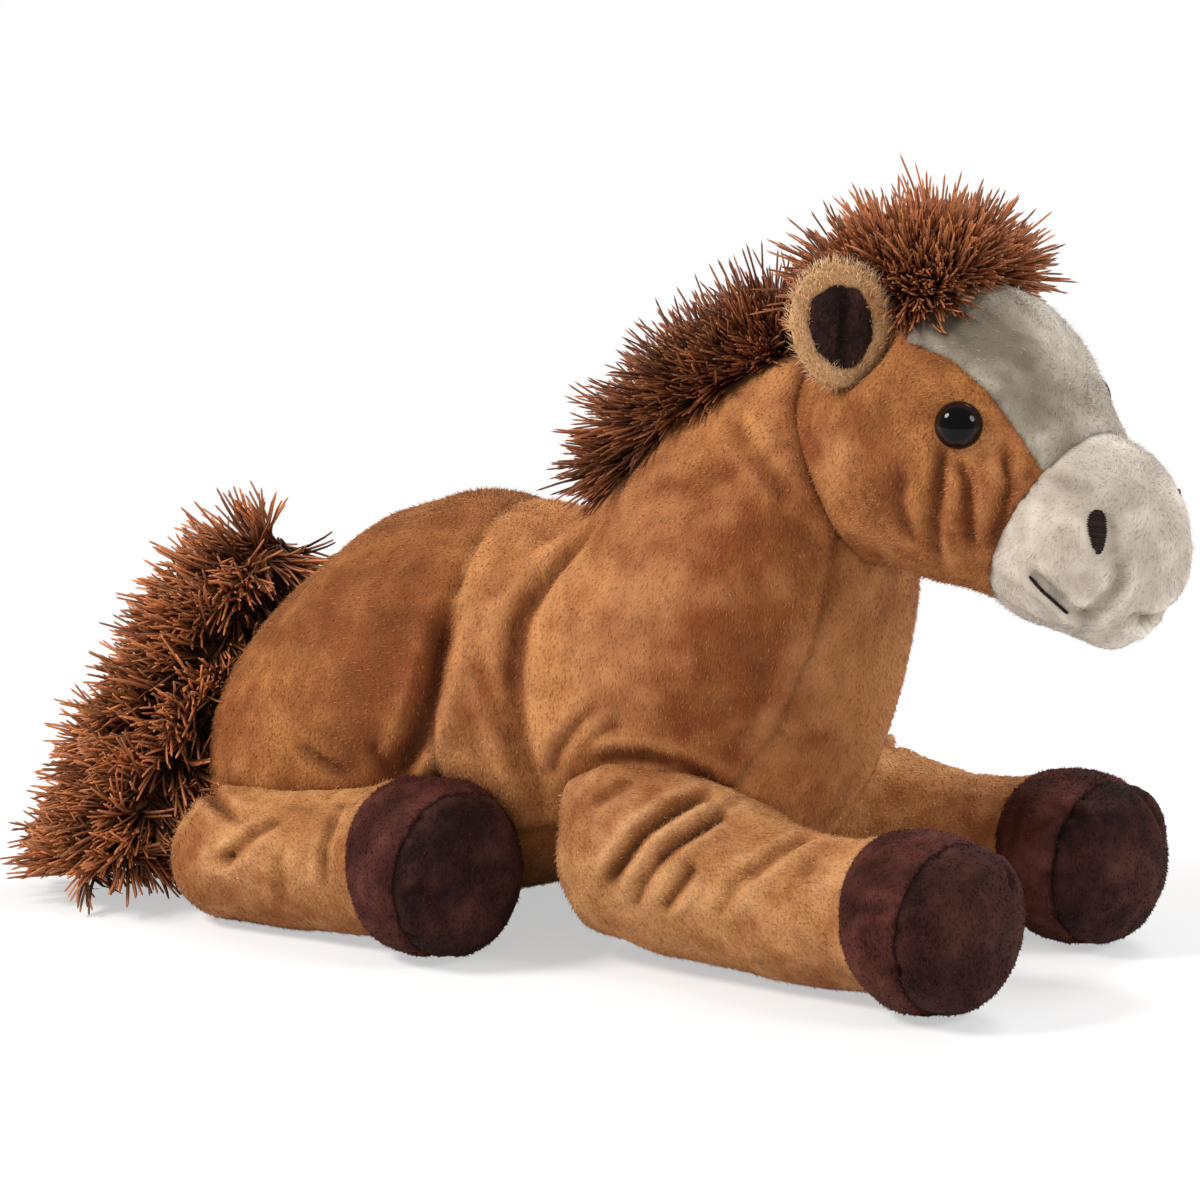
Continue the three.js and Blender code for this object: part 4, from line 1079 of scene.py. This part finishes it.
points = vertexArray(headForm)
headSides = (sidePlace(1), overHead)
folds = sum(creased(points, headLook["creases"], place) for place in headSides) * (headLabel == 0)
lips = sum(creased(points, headLook["lips"], place) for place in headSides) * (headLabel == 2)
pull = np.maximum(well(headBorder, headLook["grooveWidth"]),
                  headLook["panelPull"] * well(panelBorder, headLook["grooveWidth"]))
points = pressed(headForm, headLook, headSides, pull, folds + lips)
# Dark panel seams, with painted shade in the folds, in the lips and under the forelock.
shade = well(panelBorder, headLook["panelWidth"]) * headLook["panelShade"]
shade += folds / headLook["foldShade"] + lips / headLook["lipShade"]
shade = np.clip(shade, 0, headLook["darkest"])
setAttribute(headForm, "seam", np.maximum(shade, underPile(forelockTree, points)))
paintPileLight(headForm, points, headLook, -(folds + lips) / headLook["foldNapShade"])
headTree = skinTree(headForm)
headParts = splitForm(headForm, headLabel, headBorder, headLook["seamShade"],
                      ["headPlush", "blazePlush", "muzzlePlush"])
muzzleTree = skinTree(headParts["muzzlePlush"])
for piece in headParts.values():
    backed(piece, skinBack)
print("head shaped")

# Ears

earLook = {"voxel": 1.4 * mm, "rounds": 8, "liningVoxel": 0.9 * mm, "liningRounds": 6,
           "fold": 2.6 * mm, "foldWidth": 2.6 * mm, "foldLength": 15 * mm, "grow": 0.3 * mm,
           "sway": 2.2 * mm, "swayLength": 9 * mm}
earPieces = {}
for side in ("right", "left"):
    outer = stuffedForm("ear_%s_Outer" % side, ["ear_outer_" + side],
                        earLook["voxel"], earLook["rounds"])
    lining = stuffedForm("ear_%s_Lining" % side, ["ear_lining_" + side],
                         earLook["liningVoxel"], earLook["liningRounds"])
    points, normals = vertexArray(lining), normalArray(lining)
    middle = points.mean(axis=0)
    long, wide, through = np.linalg.svd(points - middle, full_matrices=False)[2]
    back = vertexArray(nodes["ear_outer_" + side]).mean(axis=0)
    through = through * np.sign((middle - back) @ through)
    # One soft fold runs along the lining, a little swayed.
    run = (points - middle) @ long
    offLine = (points - middle) @ wide - earLook["sway"] * np.sin(run / earLook["swayLength"])
    fold = well(offLine, earLook["foldWidth"]) * well(run, earLook["foldLength"])
    front = np.clip(normals @ through, 0, 1)
    points += normals * (earLook["grow"] - earLook["fold"] * fold * front)[:, None]
    setVertices(lining, points)
    # The lining's fold is painted darker: painted shade in the fold.
    setAttribute(lining, "seam", fold * front)
    shadeSmooth(lining)
    earPieces[side] = (outer, lining)
print("ears shaped")

# Short pile: the size of its tufts, then the way it is brushed

thin = 1.0
tanTufts = {"spacing": 1.35 * mm, "length": 2.0 * mm, "radius": 0.19 * mm, "lean": 0.72, "jitter": 0.14,
            "comb": (-0.5, 0, -0.85), "swirl": 1.0, "scale": 55 * mm, "seed": 11}
legTufts = dict(tanTufts, spacing=1.3 * mm, comb=(0.9, 0, -0.3), swirl=0.8, scale=40 * mm, seed=31)
headTufts = dict(tanTufts, spacing=1.15 * mm, comb=(-0.7, 0, -0.6), swirl=0.9, scale=30 * mm,
                 seed=41)
creamTufts = dict(headTufts, spacing=1.1 * mm, length=2.4 * mm, radius=0.15 * mm, lean=0.87, jitter=0.1)
knitTufts = dict(tanTufts, spacing=1.6 * mm, length=1.0 * mm, radius=0.3 * mm, lean=0.45, jitter=0.3,
                 comb=(0, 0, -1), swirl=0.8, scale=20 * mm, seed=53)
liningTufts = dict(knitTufts, spacing=0.9 * mm, length=1.3 * mm, radius=0.2 * mm, seed=57)
earTufts = dict(tanTufts, spacing=0.95 * mm, length=4.2 * mm, radius=0.17 * mm, lean=0.5, jitter=0.2,
                comb=(0, 0, 1), swirl=0.5, scale=30 * mm, seed=51)
# How far the roots of the tufts keep from other pieces; below zero they may lie inside.
clearOf = {"floor": 0.8 * mm, "mane": 3 * mm, "head": 0.5 * mm, "joint": -1.2 * mm, "wall": 0.6 * mm,
           "hoofFloor": 1.5 * mm, "eye": 0.6 * mm, "stitch": 1.5 * mm, "neck": 0.3 * mm,
           "forelock": 2 * mm, "lining": 0.4 * mm}
legTrees = {leg: skinTree(legPieces[leg][leg + "Plush"]) for leg in legNames}
trunkTree = skinTree(trunkForm)


def furred(piece, look, keep):
    seed = look["seed"]
    roots, facing, paintedShading = scatter(piece, look["spacing"] * thin, seed)
    chosen = keep(roots) & (roots[:, 2] > clearOf["floor"])
    roots, facing, paintedShading = roots[chosen], facing[chosen], paintedShading[chosen]
    comb = brushed(roots, look["comb"], look["swirl"], look["scale"], seed + 1)
    addTufts(piece, roots, facing, paintedShading, comb, look, seed + 5)
    return len(roots)


def openTrunk(roots):
    keep = (distances(maneTree, roots) > clearOf["mane"]) & outside(headTree, roots, clearOf["head"])
    for tree in legTrees.values():
        keep &= outside(tree, roots, clearOf["joint"])
    return keep


tufts = furred(trunkForm, tanTufts, openTrunk)
finished(trunkForm, "trunk", tanPlush, trunkNodes)
print("trunk pile:", tufts)


def openLeg(roots):
    return outside(trunkTree, roots, clearOf["joint"]) & (distances(wallTree, roots) > clearOf["wall"])


for order, leg in enumerate(legNames):
    plush, wall, sole = (legPieces[leg][leg + end] for end in ("Plush", "HoofWall", "HoofSole"))
    wallTree = skinTree(wall)
    furred(plush, dict(legTufts, seed=legTufts["seed"] + order), openLeg)
    replaced = [leg + "_fill", leg + "_skin_upper", leg + "_skin_lower"]
    if leg.startswith("front"):
        replaced.append(leg + "_seam")
    finished(plush, leg, paleTanPlush, replaced)
    for piece, end, knit in ((wall, "_hoof_wall", hoofKnit), (sole, "_hoof_sole", soleKnit)):
        shadeSmooth(piece)
        furred(piece, knitTufts, lambda roots: roots[:, 2] > clearOf["hoofFloor"])
        finished(piece, leg, knit, [leg + end])
print("legs finished")

eyeTree = treeOf(["eye_right", "eye_left"])
stitchTree = treeOf(["nostril_right", "nostril_left", "mouth_stitch_right", "mouth_stitch_left"])


def openHead(roots):
    keep = outside(trunkTree, roots, clearOf["neck"])
    for tree, key in ((eyeTree, "eye"), (stitchTree, "stitch"), (forelockTree, "forelock")):
        keep &= distances(tree, roots) > clearOf[key]
    return keep


for name, look, slotName, material, replaced in (
        ("headPlush", headTufts, "tan_plush", tanPlush, ["head_fill"] + tanHead),
        ("blazePlush", creamTufts, "cream_plush", blazePlush, ["blaze_gusset"]),
        ("muzzlePlush", creamTufts, "cream_plush", creamPlush, muzzleNodes)):
    piece = headParts[name]
    furred(piece, look, openHead)
    finished(piece, "head", material, replaced)

for side, (outer, lining) in earPieces.items():
    liningTree = treeOf(["ear_lining_" + side])
    furred(outer, earTufts, lambda roots: distances(liningTree, roots) > clearOf["lining"])
    finished(outer, "ear_" + side, earPlush, ["ear_outer_" + side])
    furred(lining, liningTufts, lambda roots: roots[:, 2] > 0)
    finished(lining, "ear_" + side, liningKnit, ["ear_lining_" + side])
print("head and ears finished")

# Mane, forelock and tail

strandLook = {"bunch": 4, "bunchWidth": 1.5 * mm, "radius": 0.6 * mm, "rings": 4, "gather": 0.35,
              "twist": 0.8, "curl": 0.24, "ownBend": 0.25, "fray": 0.12, "paintedLightAndShade": 0.0,
              "lengths": (0.82, 0.26), "girth": (0.85, 0.6, 0.8), "blunt": 2.3, "lockTone": 0.75}
thinLocks = 1.0
pileLook = {
    "clear": 3.5 * mm, "tipSpread": 1.2 * mm, "rootSpread": 0.8 * mm, "sewnDeep": 1.5 * mm,
    "lengths": (0.75, 0.42), "turn": 0.28, "trail": (0.45, -0.9),
    "mane": {"spacing": 2.5 * mm, "narrow": (0.88, 0.4), "normal": (0, 1, 0), "reach": 1.2,
             "lag": (7, 0, 6), "paintedLightAndShade": 0.0, "seed": 61},
    # The forelock is painted lighter: painted sheen.
    "forelock": {"spacing": 2.5 * mm, "narrow": (0.72, 0.5), "normal": headAcross, "reach": 0.98,
                 "lag": (-10, 2, 0), "paintedLightAndShade": 0.55, "seed": 71},
}


def longPile(name, nodeName, tree, body):
    # Locks run from the strip they are sewn on to the outer face of the solid that they stand for.
    look, solid = pileLook[nodeName], nodes[nodeName]
    seed = look["seed"]
    tips, _, _ = scatter(solid, look["spacing"] * thinLocks, seed)
    tips = tips[distances(tree, tips) > pileLook["clear"]]
    rng = np.random.default_rng(seed + 1)
    tips = tips + rng.normal(size=tips.shape) * pileLook["tipSpread"]
    middle = vertexArray(solid).mean(axis=0)
    normal = np.array(look["normal"], dtype=float)
    across = ((tips - middle) @ normal)[:, None] * normal
    along = tips - middle - across
    # Their tips trail away from the middle of the strip, more so at the end where they hang.
    lag = np.array(look["lag"]) * mm
    share = along @ unit(lag[None])[0]
    start, least = pileLook["trail"]
    trail = np.clip(start - share / np.abs(share).max(), least, 1)[:, None]
    seek = middle + along * look["narrow"][0] + across * look["narrow"][1] + lag * trail
    roots = np.array([tree.find_nearest(Vector(p))[0] for p in seek])
    roots += rng.normal(size=roots.shape) * pileLook["rootSpread"]
    run = tips - roots
    shortest, longer = pileLook["lengths"]
    length = np.linalg.norm(run, axis=1) * look["reach"] * (shortest + longer * rng.random(len(run)))
    direction = unit(unit(run) + rng.normal(size=run.shape) * pileLook["turn"])
    piece = newPiece(name, np.zeros((0, 3)), [])
    addStrands(piece, roots - direction * pileLook["sewnDeep"], direction,
               length + pileLook["sewnDeep"], dict(strandLook, paintedLightAndShade=look["paintedLightAndShade"]), seed + 2)
    finished(piece, body, manePile, [nodeName])
    print(name, len(roots), "locks, mean length", length.mean())


longPile("maneStrands", "mane", trunkTree, "trunk")
longPile("forelockStrands", "forelock", headTree, "head")

tailLook = {"voxel": 3 * mm, "rounds": 12, "inset": 8 * mm, "baseRounds": 10, "baseTip": 0.3,
            "onFloor": 1 * mm, "spacing": 2.65 * mm, "length": 26 * mm, "lengths": (0.75, 0.35),
            "comb": (-0.3, 0, -0.6), "swirl": 0.8, "scale": 25 * mm, "combed": 0.5, "turn": 0.26,
            "lift": 0.15, "seed": 81}
tailBase = stuffedForm("tailPlush", ["tail_pile", "tail_core"], tailLook["voxel"], tailLook["rounds"])
points, normals = vertexArray(tailBase), normalArray(tailBase)
setVertices(tailBase, points - normals * tailLook["inset"])
applyModifier(tailBase, "SMOOTH", factor=smoothing, iterations=tailLook["baseRounds"])
points = vertexArray(tailBase)
points[:, 2] = np.maximum(points[:, 2], tailLook["onFloor"])
setVertices(tailBase, points)
# The tail's base gets less of the painted root shade, so it shows brown between the locks.
setAttribute(tailBase, "tip", np.full(len(points), tailLook["baseTip"]))
seed = tailLook["seed"]
roots, facing, _ = scatter(tailBase, tailLook["spacing"] * thinLocks, seed)
rng = np.random.default_rng(seed + 1)
comb = brushed(roots, tailLook["comb"], tailLook["swirl"], tailLook["scale"], seed + 2)
direction = unit(facing + comb * tailLook["combed"] + rng.normal(size=roots.shape) * tailLook["turn"])
shortest, longer = tailLook["lengths"]
length = tailLook["length"] * (shortest + longer * rng.random(len(roots)))
low = roots[:, 2] + direction[:, 2] * length < tailLook["onFloor"]
direction[low, 2] = np.abs(direction[low, 2]) * tailLook["lift"]
# The tail's locks are painted lighter: painted sheen.
tailStrands = dict(strandLook, bunch=3, radius=0.72 * mm, paintedLightAndShade=1.0)
addStrands(tailBase, roots, unit(direction), length, tailStrands, seed + 3)
finished(tailBase, "tail", manePile, ["tail_pile", "tail_core"])
print("long pile finished")

# Eyes, nostrils and mouth

for side in ("right", "left"):
    low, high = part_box("eye_washer_" + side)
    solid = vertexArray(nodes["eye_" + side])
    out = unit(solid.mean(axis=0) - (np.array(low) + np.array(high)) / 2)
    spread = solid - solid.mean(axis=0)
    offAxis = np.linalg.norm(spread - np.outer(spread @ out, out), axis=1)
    radius = float(offAxis.max())
    centre = solid[offAxis > radius * eyeLook["rim"]].mean(axis=0)
    bpy.ops.mesh.primitive_uv_sphere_add(segments=eyeLook["segments"], ring_count=eyeLook["rings"],
                                         radius=radius, location=(0, 0, 0))
    eye = bpy.context.object
    eye.name = "eye_%s_Dome" % side
    bpy.ops.object.mode_set(mode="EDIT")
    bpy.ops.mesh.select_all(action="SELECT")
    bpy.ops.mesh.bisect(plane_co=(0, 0, -radius * eyeLook["sunk"]), plane_no=(0, 0, 1),
                        clear_inner=True, use_fill=True)
    bpy.ops.object.mode_set(mode="OBJECT")
    points = vertexArray(eye)
    setAttribute(eye, "ring", np.linalg.norm(points[:, :2], axis=1) / radius)
    turn = np.array(Vector(out).to_track_quat("Z", "Y").to_matrix())
    setVertices(eye, (points * np.array([1, 1, eyeLook["flat"]])) @ turn.T + centre)
    makeActive(eye)
    bpy.ops.object.shade_smooth_by_angle(angle=math.radians(eyeLook["smoothAngle"]))
    finished(eye, "head", eyeGloss, ["eye_" + side])
    washer = nodes["eye_washer_" + side]
    washer.data.materials.clear()
    washer.data.materials.append(washerPlastic)

# One stitch of thread is modelled once, and each row of satin stitches is made of copies of it.
stitchLook = {"radius": 0.65 * mm, "lift": 0.75 * mm, "thinEnds": 0.2, "thinnest": 0.25, "over": 0.5,
              "rows": 18, "egg": 0.4, "mouthRows": 12, "mouthParts": 6, "back": 0.35, "ahead": 1.425,
              "tip": 0.4, "seed": 91}
bpy.ops.mesh.primitive_uv_sphere_add(segments=8, ring_count=8, radius=1, location=(0, 0, 0))
stitch = bpy.context.object
stitch.name = "stitch"
stitchPoints, stitchTriangles = vertexArray(stitch), triangleArray(stitch)
stitchPoints[:, 0] *= np.sqrt(np.maximum(
    stitchLook["thinnest"], 1 - stitchPoints[:, 0] ** 2 * stitchLook["thinEnds"]))
bpy.data.objects.remove(stitch)


def sewnStitches(name, ends, nodeName):
    verts, faces = [], []
    for a, b in ends:
        settled = []
        for point in (a, b):
            place, normal, _, _ = muzzleTree.find_nearest(Vector(point))
            settled.append(place + normal * stitchLook["lift"])
            out = normal
        radius = stitchLook["radius"]
        length = (settled[1] - settled[0]).length / 2 + radius * stitchLook["over"]
        ahead = (settled[1] - settled[0]).normalized()
        side = out.cross(ahead).normalized()
        shape = Matrix((ahead * length, side * radius, ahead.cross(side) * radius))
        points = stitchPoints @ np.array(shape) + np.array((settled[0] + settled[1]) / 2)
        faces.extend(stitchTriangles + len(verts) * len(points))
        verts.append(points)
    piece = newPiece(name, np.concatenate(verts), faces)
    # The thread gets part of the painted highlight and root shade of the pile.
    setAttribute(piece, "tip", np.full(len(piece.data.vertices), stitchLook["tip"]))
    tone = np.random.default_rng(stitchLook["seed"]).random(len(ends))
    setAttribute(piece, "tone", np.repeat(tone, len(stitchPoints)))
    shadeSmooth(piece)
    finished(piece, "head", darkThread, [nodeName])


for side in ("right", "left"):
    solid = vertexArray(nodes["nostril_" + side])
    middle = (solid.max(axis=0) + solid.min(axis=0)) / 2
    tall, wide, _ = np.linalg.svd(solid - middle, full_matrices=False)[2]
    halfTall, halfWide = np.abs((solid - middle) @ tall).max(), np.abs((solid - middle) @ wide).max()
    tall = tall * np.sign(tall[2])
    ends = []
    for k in range(stitchLook["rows"]):
        t = -1 + 2 * (k + 0.5) / stitchLook["rows"]
        half = halfWide * math.sqrt(1 - t * t) * (1 + stitchLook["egg"] * t)
        centre = middle + tall * halfTall * t
        ends.append((centre - wide * half, centre + wide * half))
    sewnStitches("nostril_%s_Stitches" % side, ends, "nostril_" + side)
    solid = vertexArray(nodes["mouth_stitch_" + side])
    middle = solid.mean(axis=0)
    along = np.linalg.svd(solid - middle, full_matrices=False)[2][0]
    order = np.argsort((solid - middle) @ along)
    count = stitchLook["mouthParts"]
    line = np.array([solid[part].mean(axis=0) for part in np.array_split(order, count)])
    marks = np.linspace(0, count - 1, stitchLook["mouthRows"])
    places = np.array([np.interp(marks, range(count), line[:, k]) for k in range(3)]).T
    ends = []
    for k in range(len(places) - 1):
        step = places[k + 1] - places[k]
        ends.append((places[k] - step * stitchLook["back"], places[k] + step * stitchLook["ahead"]))
    sewnStitches("mouth_%s_Stitches" % side, ends, "mouth_stitch_" + side)
print("eyes, nostrils and mouth finished")

bpy.context.view_layer.update()
